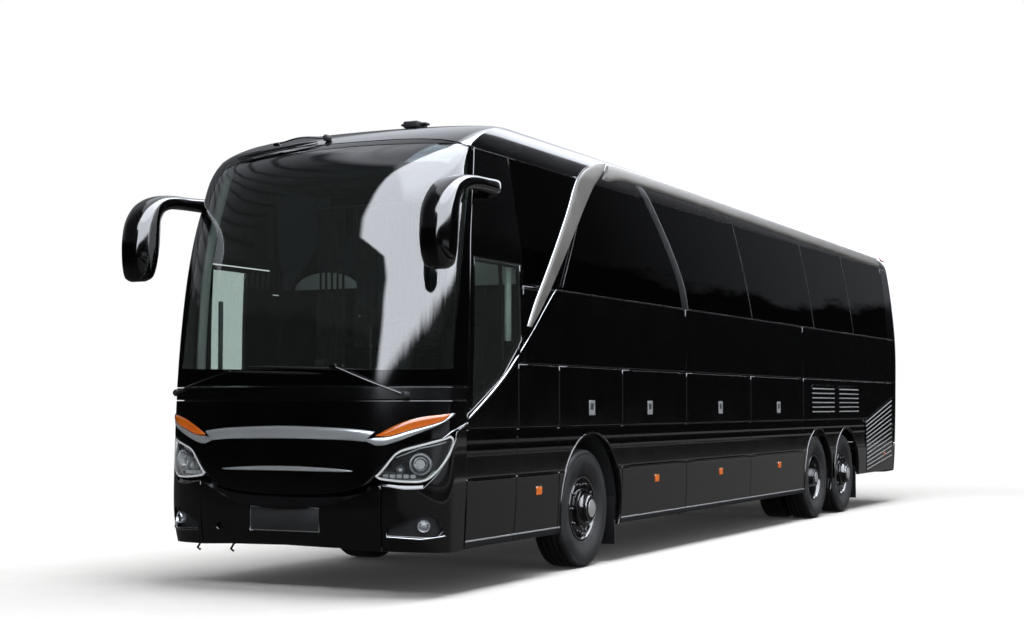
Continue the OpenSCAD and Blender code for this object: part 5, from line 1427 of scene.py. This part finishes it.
def twin_wheel_shapes(piece):
    """Drive wheels: the outer disc lies deep inside, the hub reaches out through it."""
    piece.add(lathe([(RIM_R, -.109), (RIM_R, .109), (.281, .1185), (.270, .1190), (.262, .108), (.252, .07),
                     (.248, -.06),
                     (.232, -.13), (.150, -.150), (.150, -.168), (.236, -.150), (.262, -.09), (.276, -.109)], 96),
              rim_black)
    piece.add(lathe([(.2700, .1188), (.2735, .1200), (.2790, .1196), (.2770, .1180)], 96), bright)
    piece.add(lathe([(0, -.17), (.152, -.17), (.150, -.02), (.142, .010), (.128, .045), (.122, .080), (.112, .098),
                     (.105, .132),
                     (.098, .140), (0, .142)], 96), hub_satin)
    piece.add(lathe([(.100, .1380), (.106, .1360), (.1065, .1325), (.099, .1345)], 96), bright)
    piece.add(lathe([(.0, .138), (.062, .138), (.066, .1445), (.062, .1480), (.052, .1474), (.0, .1490)], 60), slat)
    bolts(.190, -.152, 10, .014, .024, rim_black, piece)
    inner = -.340
    piece.add(lathe([(RIM_R, inner - .109), (RIM_R, inner + .109), (.272, inner + .116), (.262, inner + .10),
                     (.250, -.172),
                     (.150, -.172), (.150, -.190), (.240, -.190), (.256, inner + .03), (.264, inner - .109)], 72),
              rim_black)


meshes = {}
for name, x, track, kind in (("front", 0, 1.051, "single"), ("tag", WHEELS[2], 1.071, "single"),
                             ("drive", WHEELS[1], 1.086, "twin")):
    for where, hand in ((LEFT, "left"), (RIGHT, "right")):
        body = f"{name}_{hand}_wheel" + ("s" if kind == "twin" else "")
        plural = "s" if kind == "twin" else ""
        for part in ("tyre", "rim"):
            if (part, kind) not in meshes:
                piece = Piece(f"{kind}_{part}", body)
                if part == "tyre":
                    piece.add(tyre_shape, tyre_rubber)
                    if kind == "twin":
                        piece.add(moved(tyre_shape, None, (0, -.340, 0)), tyre_rubber)
                else:
                    (single_wheel_shapes if kind == "single" else twin_wheel_shapes)(piece)
                first = piece.made(sharp=28, x=0)
                meshes[part, kind] = first.data
                bpy.data.objects.remove(first)
            node_name = f"{name}_{hand}_{part}{plural}"
            obj = bpy.data.objects.new(node_name + "_dressed", meshes[part, kind])
            bpy.context.scene.collection.objects.link(obj)
            obj.location = (AXLE_X + x, where * track, HUB_Z)
            obj.rotation_euler = (0, 0, 0 if where == LEFT else math.pi)
            place_on(obj, body, [node_name])

flaps_mud = Piece("mud_flaps", slot="black_plastic")
for x in (-.60, -9.12):
    flaps_mud.both(block((x - .006, .93, .16), (x + .006, 1.22, .60), .004), rubber)
flaps_mud.made()

# ---------- inside ----------

DECK, COCKPIT = 1.60, 1.02
dash = Piece("dashboard", "coach_body", ["dashboard"], "black_plastic")
dash.add(prism([(2.24, 1.03), (2.56, 1.03), (2.56, 1.44), (2.50, 1.535), (2.43, 1.58), (2.36, 1.60), (2.28, 1.58),
                (2.24, 1.52)], -1.05, 1.08, 1, .012), dash_grain)
dash.add(prism([(2.23, 1.53), (2.40, 1.56), (2.43, 1.66), (2.37, 1.715), (2.29, 1.72), (2.235, 1.69)], .30, .98, 1,
               .03), dash_grain)
dash.add(moved(block((-.004, -.26, -.07), (.004, .26, .07), .003), about("y", -20), (2.232, .64, 1.635)), moulding)
for y in (.50, .64, .78):
    dash.add(moved(lathe([(0, 0), (.05, 0), (.052, .006), (.046, .008), (0, .004)], 36), about("z", 90),
                   (2.225, y, 1.64)), bright)
dash.add(block((2.42, -.06, 1.575), (2.50, .10, 1.70), .012, 3), plastic)
dash.add(block((2.43, -.03, 1.69), (2.48, .07, 1.79), .01, 3), plastic)
column_dir = np.array([-math.sin(math.radians(28)), 0, math.cos(math.radians(28))])
centre = np.array([2.080, .640, 1.990])
dash.add(tube([centre - column_dir * .42, centre - column_dir * .20, centre - column_dir * .045], [.055, .048, .035],
              20), plastic)
dash.made()
wheel = Piece("steering_wheel", "steering_wheel", ["steering_wheel"], "black_plastic")
rim_ring_shape = lathe([(.225 + .0135 * math.cos(t), .0135 * math.sin(t)) for t in np.linspace(0, 2 * math.pi,
                                                                                               17)[:-1]], 72)
boss = lathe([(0, -.028), (.058, -.028), (.062, -.012), (.055, .0), (0, .004)], 40)
upright = np.array(about("y", -28)) @ np.array(about("x", 90))
wheel.add(moved(rim_ring_shape, upright, centre), seat_leather)
wheel.add(moved(boss, upright, centre), dash_grain)
for a in (0, 120, 240):
    d = np.array([math.cos(math.radians(a)), 0, math.sin(math.radians(a))])
    spoke = tube([d * .05 + [0, -.012, 0], d * .14 + [0, -.010, 0], d * .220], [.018, .013, .011], 10, .5)
    wheel.add(moved(spoke, upright, centre), dash_grain)
wheel.made()


def cushion(low, high, lean=0, hinge=None, bulge=.18):
    """Padded block with crowned faces and its corners drawn in, leant by degrees about a hinge."""
    low, high = np.array(low), np.array(high)
    bm = bmesh.new()
    bmesh.ops.create_cube(bm, size=1)
    bmesh.ops.subdivide_edges(bm, edges=bm.edges[:], cuts=7, use_grid_fill=True)
    half, mid_ = (high - low) / 2, (high + low) / 2
    for v in bm.verts:
        p = np.array(v.co) * 2
        q = p.copy()
        for k in range(3):
            others = [p[j] ** 2 for j in range(3) if j != k]
            q[k] = p[k] * (1 - bulge * (others[0] + others[1] - others[0] * others[1] * .3) / 2)
        v.co = Vector(mid_ + q * half)
    points = np.array([v.co for v in bm.verts])
    faces = [[v.index for v in f.verts] for f in bm.faces]
    bm.free()
    if lean:
        points = (points - hinge) @ np.array(about("y", lean)).T + hinge
    return points, faces, None


def simulated(obj):
    """Fills a cushion like foam under cloth: a short pressure run, then its swelling is capped."""
    bpy.context.view_layer.objects.active = obj
    start = [v.co.copy() for v in obj.data.vertices]
    cloth = obj.modifiers.new("cloth", "CLOTH")
    s = cloth.settings
    s.use_pressure, s.uniform_pressure_force, s.quality = True, 4, 4
    s.effector_weights.gravity = 0
    s.tension_stiffness = s.compression_stiffness = 25
    cloth.point_cache.frame_start, cloth.point_cache.frame_end = 1, 14
    for f in range(1, 15):
        bpy.context.scene.frame_set(f)
    final = obj.evaluated_get(bpy.context.evaluated_depsgraph_get()).data
    ends = [v.co.copy() for v in final.vertices]
    obj.modifiers.clear()
    for v, a, b in zip(obj.data.vertices, start, ends):
        d = b - a
        v.co = a + (d.normalized() * min(d.length, .020) if d.length > 1e-9 else d)
    bpy.context.scene.frame_set(1)


# One seat pair as two padded halves, filled once and repeated down the coach
SEAT_W, INNER = .86, float(half_w(DECK + 1.15)) - .06 - .02


def pad_mesh(name, low, high, finish_, lean=0, hinge=None):
    piece = Piece(name, "coach_body")
    piece.add(cushion(low, high, lean, hinge), finish_)
    obj = piece.made(sharp=180, x=0)
    simulated(obj)
    sub = obj.modifiers.new("fine", "SUBSURF")
    sub.levels = sub.render_levels = 1
    bpy.context.view_layer.update()
    mesh = bpy.data.meshes.new_from_object(obj.evaluated_get(bpy.context.evaluated_depsgraph_get()))
    bpy.data.objects.remove(obj)
    return mesh


base_pad = pad_mesh("seat_base_pad", (-.03, .03, .355), (.43, .41, .45), seat_cloth)
back_pad = pad_mesh("seat_back_pad", (-.03, .03, .46), (.05, .41, 1.12), seat_cloth, lean=-11,
                    hinge=np.array([0, 0, .44]))
frames = Piece("passenger_seat_frames", "coach_body", ["passenger_seats"], "seat_fabric")
row_places = []
for i in range(14):
    x = .38 - .78 * i
    for where in (LEFT, RIGHT):
        if where == RIGHT and not (x + .48 < MID_DOOR[1] or x - .14 > MID_DOOR[0]):
            continue
        row_places.append((x, where))
        mirror, middle = where == RIGHT, INNER - SEAT_W / 2
        shell = block((-.045, INNER - SEAT_W + .02, .36), (-.03, INNER - .02, 1.06), .006)
        hinge = np.array([x + .44 * math.sin(math.radians(11)), 0, DECK])
        frames.add(moved(shell, about("y", -11), hinge), pale_trim, mirror)
        frames.add(block((x + .02, INNER - SEAT_W + .03, DECK + .32), (x + .40, INNER - .03, DECK + .352), .006),
                   plastic, mirror)
        frames.add(block((x + .02, middle - .03, DECK + .001), (x + .28, middle + .03, DECK + .33), .01),
                   plastic, mirror)
        for y in (INNER - SEAT_W, INNER - .03):
            frames.add(block((x - .02, y, DECK + .50), (x + .30, y + .03, DECK + .55), .012, 3), dash_grain, mirror)
frames.made()
for n, (x, where) in enumerate(row_places):
    for k in range(2):
        for mesh, label in ((base_pad, "base"), (back_pad, "back")):
            obj = bpy.data.objects.new(f"seat_{label}_{n + 1}_{k + 1}", mesh)
            bpy.context.scene.collection.objects.link(obj)
            y = where * (INNER - SEAT_W) + (.43 * k if where == LEFT else -.43 * k - .44)
            obj.location = (AXLE_X + x, y, DECK)
            place_on(obj, "coach_body", ())

seat = Piece("driver_seat_pedestal", "coach_body", ["driver_seat"], "seat_fabric")
seat.add(block((1.34, .49, 1.03), (1.60, .79, 1.30), .02, 3), plastic)
seat.add(block((1.26, .42, 1.30), (1.66, .86, 1.395), .02, 3), plastic)
for y in (.40, .86):
    seat.add(block((1.30, y - .02, 1.62), (1.60, y + .02, 1.66), .012, 3), dash_grain)
seat.made()
for name, low, high, lean, hinge in (("driver_seat_base", (1.25, .41, 1.40), (1.70, .87, 1.515), 0, None),
                                     ("driver_seat_back", (1.25, .415, 1.49), (1.35, .865, 2.10), -10,
                                      np.array([1.24, 0, 1.48])),
                                     ("driver_head_rest", (1.26, .51, 2.12), (1.34, .77, 2.23), -10,
                                      np.array([1.24, 0, 1.48]))):
    pad = bpy.data.objects.new(name, pad_mesh(name + "_mesh", low, high, seat_leather, lean, hinge))
    bpy.context.scene.collection.objects.link(pad)
    pad.location.x = AXLE_X
    place_on(pad, "coach_body", ())


def pleats(name, x0, x1, y0, y1, z0, z1, folds, depth):
    """Gathered curtain: a thin cloth in deep upright folds, looser towards its hem."""
    n = folds * 10 + 1
    t = np.linspace(0, 1, n)
    zs = np.linspace(z1, z0, 14)
    rows = []
    for z in zs:
        loose = .65 + .35 * (z1 - z) / (z1 - z0)
        wave = depth * loose * np.sin(t * folds * 2 * np.pi) * (1 + .25 * np.sin(t * 17 + z * 1.3))
        way = np.array([x1 - x0, y1 - y0])
        across_way = np.array([-way[1], way[0]]) / np.linalg.norm(way)
        xy = np.array([x0, y0]) + t[:, None] * way + wave[:, None] * across_way
        rows.append(np.column_stack([xy, np.full(n, z)]))
    rows = np.array(rows)
    back = rows + np.array([.0012, .0012, 0])
    m = len(zs)
    points = np.vstack([rows.reshape(-1, 3), back.reshape(-1, 3)])
    i = np.arange(m * n).reshape(m, n)
    q = np.stack([i[:-1, :-1], i[1:, :-1], i[1:, 1:], i[:-1, 1:]], -1).reshape(-1, 4)
    faces = q[:, ::-1].tolist() + (q + m * n).tolist()
    ring_ = np.concatenate([i[0, :], i[1:, -1], i[-1, ::-1][1:], i[::-1, 0][1:-1]])
    for a, b in zip(ring_, np.roll(ring_, -1)):
        faces.append([int(a), int(b), int(b) + m * n, int(a) + m * n])
    cloth = Piece(name, "coach_body", slot="seat_fabric")
    cloth.add((points, faces, None), curtain_cloth)
    obj = cloth.made(sharp=180)


rail = Piece("curtain_rail", slot="machined_steel")
rail.add(tube([(.98, y, 3.205) for y in np.linspace(-1.0, 1.0, 9)], .009, 12), machined)
rail.made()
pleats("curtain_middle", .98, .98, -.62, .30, 1.95, 3.19, 12, .03)
pleats("curtain_right", .98, .98, -1.0, -.70, 1.72, 3.19, 5, .03)
cabin = Piece("cabin_trim", slot="trim_plastic")
cabin.add(block((.9, -1.05, 3.30), (2.05, 1.05, 3.40), .03, 3), headliner)
cabin.add(block((-10.6, -1.0, 3.42), (.85, 1.0, 3.45), .01, 2), headliner)
cabin.add(block((1.60, -.55, 3.22), (1.95, .55, 3.32), .04, 3), dash_grain)
for s in (1, -1):
    path = [nose.raised(-.075).place(np.array(s * nose_edge(z, .05)), np.array(z)) for z in np.linspace(1.60, 3.38, 16)]
    cabin.add(tube(path, .045, 14, .7), pale_trim if s < 0 else dash_grain)
cabin.add(tube([(1.10, -.36, 1.1), (1.10, -.36, 2.1), (1.16, -.36, 2.2), (1.28, -.36, 2.2)], .016, 12), bright)
cabin.add(block((.905, -1.1, 1.03), (.93, -.38, 1.60), .006), pale_trim)
cabin.add(block((.905, .32, 1.03), (.93, 1.16, 2.40), .006), dash_grain)
cabin.add(block((.905, .32, 2.46), (.93, 1.14, 3.30), .006), pale_trim)
cabin.add(block((1.47, 1.175, 1.95), (1.56, 1.20, 2.56), .01), pale_trim)
# lining below the windows, and above them
for x0, x1, s in ((-10.9, 1.30, 1), (-10.9, -6.50, -1), (-5.55, 1.28, -1)):
    cabin.add(block((x0, min(1.165 * s, 1.18 * s), 1.64), (x1, max(1.165 * s, 1.18 * s), 2.425), .003, 1), dash_grain)
cabin.add(block((1.34, -1.18, 2.62), (2.20, -1.165, 2.70), .003, 1), dash_grain)
cabin.add(block((1.255, -1.19, 1.66), (1.30, -1.175, 2.62), .003, 1), dash_grain)
# pale half-round cover over the front seats' partition
half_moon = [(-.90 + .33 * math.cos(t), 2.47 + .15 * math.sin(t)) for t in np.linspace(0, math.pi, 24)]
cabin.add(prism(half_moon, .955, .99, 0, .004), pale_trim)
cabin.made()

# ---------- finishes of the pieces that keep their first shape ----------

KEPT = {"chassis_frame": primer, "front_axle": primer, "drive_axle": primer, "tag_axle": primer, "engine": casting,
        "front_left_knuckle": machined, "front_right_knuckle": machined, "front_door_arms": machined,
        "mid_door_arms": machined, "passenger_deck": vinyl, "cockpit_floor": vinyl, "luggage_hold": vinyl,
        "wheel_housings": plastic, "luggage_racks": dash_grain}
for name, finish_ in KEPT.items():
    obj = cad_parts[name]
    obj.data.materials.clear()
    obj.data.materials.append(finish_)

# ---------- camera, floor and light ----------

scene = bpy.context.scene
camera = bpy.data.objects.new("camera", bpy.data.cameras.new("camera"))
camera.location = (13.351 + AXLE_X, 7.147, 1.429)
camera.rotation_euler = (math.radians(92.99), 0, math.radians(206.57 - 90))
camera.data.lens, camera.data.sensor_width = 57.66, 36
camera.data.clip_end = 500
scene.collection.objects.link(camera)
scene.camera = camera


def stage_mesh(name, points, faces, material):
    mesh = bpy.data.meshes.new(name)
    mesh.from_pydata(points, [], faces)
    mesh.materials.append(material)
    obj = bpy.data.objects.new(name, mesh)
    scene.collection.objects.link(obj)
    return obj


def empty_material(name):
    m = bpy.data.materials.new(name)
    m.use_nodes = True
    m.node_tree.nodes.clear()
    return m, m.node_tree


def seen_directly(tree):
    """1 for the rays that show the backdrop itself: camera, glossy and transmission rays."""
    ray = node(tree, "LightPath").outputs
    seen = node(tree, "Math", {0: ray["Is Camera Ray"], 1: ray["Is Glossy Ray"]}, operation="MAXIMUM")
    return node(tree, "Math", {0: seen, 1: ray["Is Transmission Ray"]}, operation="MAXIMUM")


# Pale studio floor that runs out to the white of the backdrop, and keeps the coach's shadow
floor_paint, tree = empty_material("pale_studio_floor")
place = node(tree, "NewGeometry").outputs["Position"]
near = node(tree, "VectorMath", {0: place, 1: (.56, 1, 0)}, operation="MULTIPLY")
far = node(tree, "VectorMath", {0: near, 1: (0, 1.0, 0)}, operation="DISTANCE").outputs["Value"]
fade = node(tree, "MapRange", {"Value": far, "From Min": 4.4, "From Max": 7.4}, interpolation_type="SMOOTHSTEP")
seen = seen_directly(tree)
mix = node(tree, "Math", {0: seen, 1: fade}, operation="MULTIPLY")
lift = node(tree, "Math", {0: seen, 1: .02}, operation="MULTIPLY")
cement = node(tree, "TexNoise", {"Vector": place, "Scale": 3.0, "Detail": 4})
cement = node(tree, "ValToRGB", {"Fac": cement}, [(.3, "#f4f4f3"), (.7, "#f8f8f7")])
base = node(tree, "BsdfDiffuse", {"Color": cement})
white = node(tree, "Emission", {"Color": rgb("#ffffff"), "Strength": 1})
glow = node(tree, "Emission", {"Color": rgb("#ffffff"), "Strength": lift})
lit = node(tree, "AddShader", {0: base, 1: glow})
both = node(tree, "MixShader", {0: mix, 1: lit, 2: white})
node(tree, "OutputMaterial", {"Surface": both})
stage_mesh("floor", [(-150, -150, 0), (150, -150, 0), (150, 150, 0), (-150, 150, 0)], [(0, 1, 2, 3)], floor_paint)

# Studio tent, seen only in reflections: dark walls with soft bands, an open bright top, and one tall light card
tent_cloth, tree = empty_material("studio_tent")
way = node(tree, "VectorMath", {0: node(tree, "NewGeometry").outputs["Position"]}, operation="NORMALIZE")
xyz = node(tree, "SeparateXYZ", {0: way})


def along(value, low, high, *stops):
    """Value read off a line of (place, height) stops between low and high."""
    t = node(tree, "MapRange", {"Value": value, "From Min": low, "From Max": high})
    top = max(h for _, h in stops)
    line = node(tree, "ValToRGB", {"Fac": t}, [((p - low) / (high - low), h / top) for p, h in stops])
    return node(tree, "Math", {0: line, 1: top}, operation="MULTIPLY")


def past(value, edge, soft):
    """Rises from 0 to 1 as value passes edge, over twice soft."""
    gap = node(tree, "Math", {0: value, 1: edge}, operation="SUBTRACT")
    return node(tree, "MapRange", {"Value": gap, "From Min": -soft, "From Max": soft}, interpolation_type="SMOOTHSTEP")


bearing = node(tree, "Math", {0: node(tree, "Math", {0: xyz.outputs["Y"], 1: xyz.outputs["X"]}, operation="ARCTAN2")},
               operation="DEGREES")
rise = node(tree, "Math", {0: node(tree, "Math", {0: xyz.outputs["Z"]}, operation="ARCSINE")}, operation="DEGREES")
ragged = node(tree, "TexNoise", {"Vector": way, "Scale": 9, "Detail": 7, "Roughness": .66})
ragged = node(tree, "Math", {0: node(tree, "Math", {0: ragged, 1: -.5}, operation="ADD"), 1: 7}, operation="MULTIPLY")
# hedge line low down, wall above it by bearing, then the open top
skyline = node(tree, "Math", {0: along(bearing, 145, 180, (145, 12.8), (156, 10.3), (160, 8.9), (163, 8), (166, 7.2),
                                       (180, 7)), 1: ragged}, operation="ADD")
wall = along(bearing, -180, 180, (-180, .10), (-104, .30), (-96, .42), (-78, .26), (-62, .10), (-43, .05), (-19, .05),
             (0, .05), (100, .05), (148, .012), (155, .02), (161, .075), (168, .13), (180, .12))
floors = node(tree, "TexWave", {"Vector": way, "Scale": 5.5, "Distortion": 1.2, "Detail": 2},
              bands_direction="Z").outputs["Fac"]
floors = along(floors, 0, 1, (0, .25), (.25, .9), (1, 1))
wall = node(tree, "Math", {0: wall, 1: node(tree, "Math", {0: floors, 1: past(bearing, -44, 1)}, operation="MAXIMUM")},
            operation="MULTIPLY")
level = node(tree, "Math", {0: wall, 1: past(rise, skyline, .5)}, operation="MULTIPLY")
opening = along(bearing, -180, 180, (-180, 6), (-164, 8), (-128, 40), (-104, 57), (-94, 61), (-25, 60), (0, 42),
                (130, 42), (152, 48), (169, 46), (175, 8), (180, 6))
top = along(bearing, -180, 180, (-180, 2.2), (-169, 2.2), (-158, .6), (-104, .9), (-30, 1), (0, 2.2), (180, 2.2))
level = node(tree, "Math",
             {0: node(tree, "Math", {0: level, 1: .006}, operation="MAXIMUM"),
              1: node(tree, "Math", {0: past(rise, opening, 2.5), 1: top}, operation="MULTIPLY")}, operation="ADD")
# pale wall low down behind the camera, which draws the rolled panel edges as fine lines
low_wall = node(tree, "Math", {0: node(tree, "Math", {0: past(bearing, 40, 4), 1: past(104, bearing, 4)},
                                       operation="MULTIPLY"), 1: past(3.2, rise, .6)}, operation="MULTIPLY")
level = node(tree, "Math", {0: level, 1: node(tree, "Math", {0: low_wall, 1: .45}, operation="MULTIPLY")},
             operation="ADD")
# big pale card ahead and to the coach's left, with a curved near edge and a sloping foot
edge = node(tree, "Math", {0: along(rise, 0, 60, (0, 14), (6, 13), (14, 16), (20, 17), (24, 15), (27, 4), (32, 3),
                                    (60, 3)), 1: 20}, operation="SUBTRACT")
foot = along(bearing, -20, 160, (-20, 6), (-5, 7), (5, 11), (23, 14.5), (56, 16.5), (108, 15), (125, 22), (135, 38),
             (160, 40))
card = node(tree, "Math",
            {0: past(bearing, edge, 1.2),
             1: past(rise,
                     node(tree, "Math", {0: foot, 1: node(tree, "Math", {0: ragged, 1: .5}, operation="MULTIPLY")},
                          operation="ADD"), 1.5)}, operation="MULTIPLY")
power = node(tree, "Math", {0: level, 1: node(tree, "Math", {0: card, 1: 7.2}, operation="MULTIPLY")}, operation="ADD")
node(tree, "OutputMaterial", {"Surface": node(tree, "Emission", {"Color": rgb("#f2f6ff"), "Strength": power})})
ball = bmesh.new()
bmesh.ops.create_uvsphere(ball, u_segments=96, v_segments=48, radius=60)
mesh = bpy.data.meshes.new("studio_tent")
ball.to_mesh(mesh)
ball.free()
mesh.materials.append(tent_cloth)
tent = bpy.data.objects.new("studio_tent", mesh)
scene.collection.objects.link(tent)
# Dark matting seen only in reflections, with pale strips laid along the coach's left side
dark_floor, tree = empty_material("dark_reflection_card")
spot = node(tree, "SeparateXYZ", {0: node(tree, "NewGeometry").outputs["Position"]})
off = node(tree, "Math", {0: spot.outputs["Y"], 1: 1.27}, operation="SUBTRACT")
strips = along(off, 0, 60, (0, .10), (1.5, .12), (8.6, .125), (8.75, .42), (9.5, .42), (9.65, .010), (17.2, .012),
               (17.5, .20), (18.8, .20),
               (19.1, .03), (21.3, .03), (21.6, .30), (28, .22), (29, .008), (60, .004))
ahead = along(spot.outputs["X"], 0, 40, (0, .045), (12, .05), (20, .025), (40, .01))
beside = past(off, .3, .3)
tone = node(tree, "Math",
            {0: node(tree, "Math", {0: beside, 1: strips}, operation="MULTIPLY"),
             1: node(tree, "Math", {0: node(tree, "Math", {0: 1, 1: beside}, operation="SUBTRACT"), 1: ahead},
                     operation="MULTIPLY")}, operation="ADD")
node(tree, "OutputMaterial", {"Surface": node(tree, "Emission", {"Color": rgb("#fdfcfb"), "Strength": tone})})
card_floor = stage_mesh("dark_reflection_card", [(-60, -60, .002), (60, -60, .002), (60, 60, .002), (-60, 60, .002)],
                        [(0, 1, 2, 3)], dark_floor)
for o in (tent, card_floor):
    o.visible_camera = o.visible_diffuse = o.visible_transmission = o.visible_shadow = o.visible_volume_scatter = False

world = bpy.data.worlds.new("white_studio")
scene.world = world
world.use_nodes = True
tree = world.node_tree
tree.nodes.clear()
power = node(tree, "MapRange", {"Value": seen_directly(tree), "To Min": .32, "To Max": 1.0})
# daylight through the panes is full along the coach's right flank and low elsewhere, so that the cabin stays dim
way = node(tree, "VectorMath", {0: node(tree, "TexCoord").outputs["Generated"], 1: (-.81, -.585, .05)},
           operation="DOT_PRODUCT").outputs["Value"]
pane_light = node(tree, "MapRange", {"Value": way, "From Min": .84, "From Max": .93, "To Min": .14, "To Max": 1})
through = node(tree, "Mix",
               {"Factor": node(tree, "LightPath").outputs["Is Transmission Ray"], "A": power, "B": pane_light})
power = through.outputs["Result"]
node(tree, "OutputWorld", {"Surface": node(tree, "Background", {"Color": rgb("#ffffff"), "Strength": power})})

sky = bpy.data.lights.new("overhead_softbox", "AREA")
sky.shape, sky.size, sky.size_y, sky.energy = "RECTANGLE", 17, 8, 3000
lamp = bpy.data.objects.new("overhead_softbox", sky)
lamp.location = (1.5, 2.5, 13)
lamp.visible_glossy = False
scene.collection.objects.link(lamp)

scene.view_settings.view_transform = "Standard"
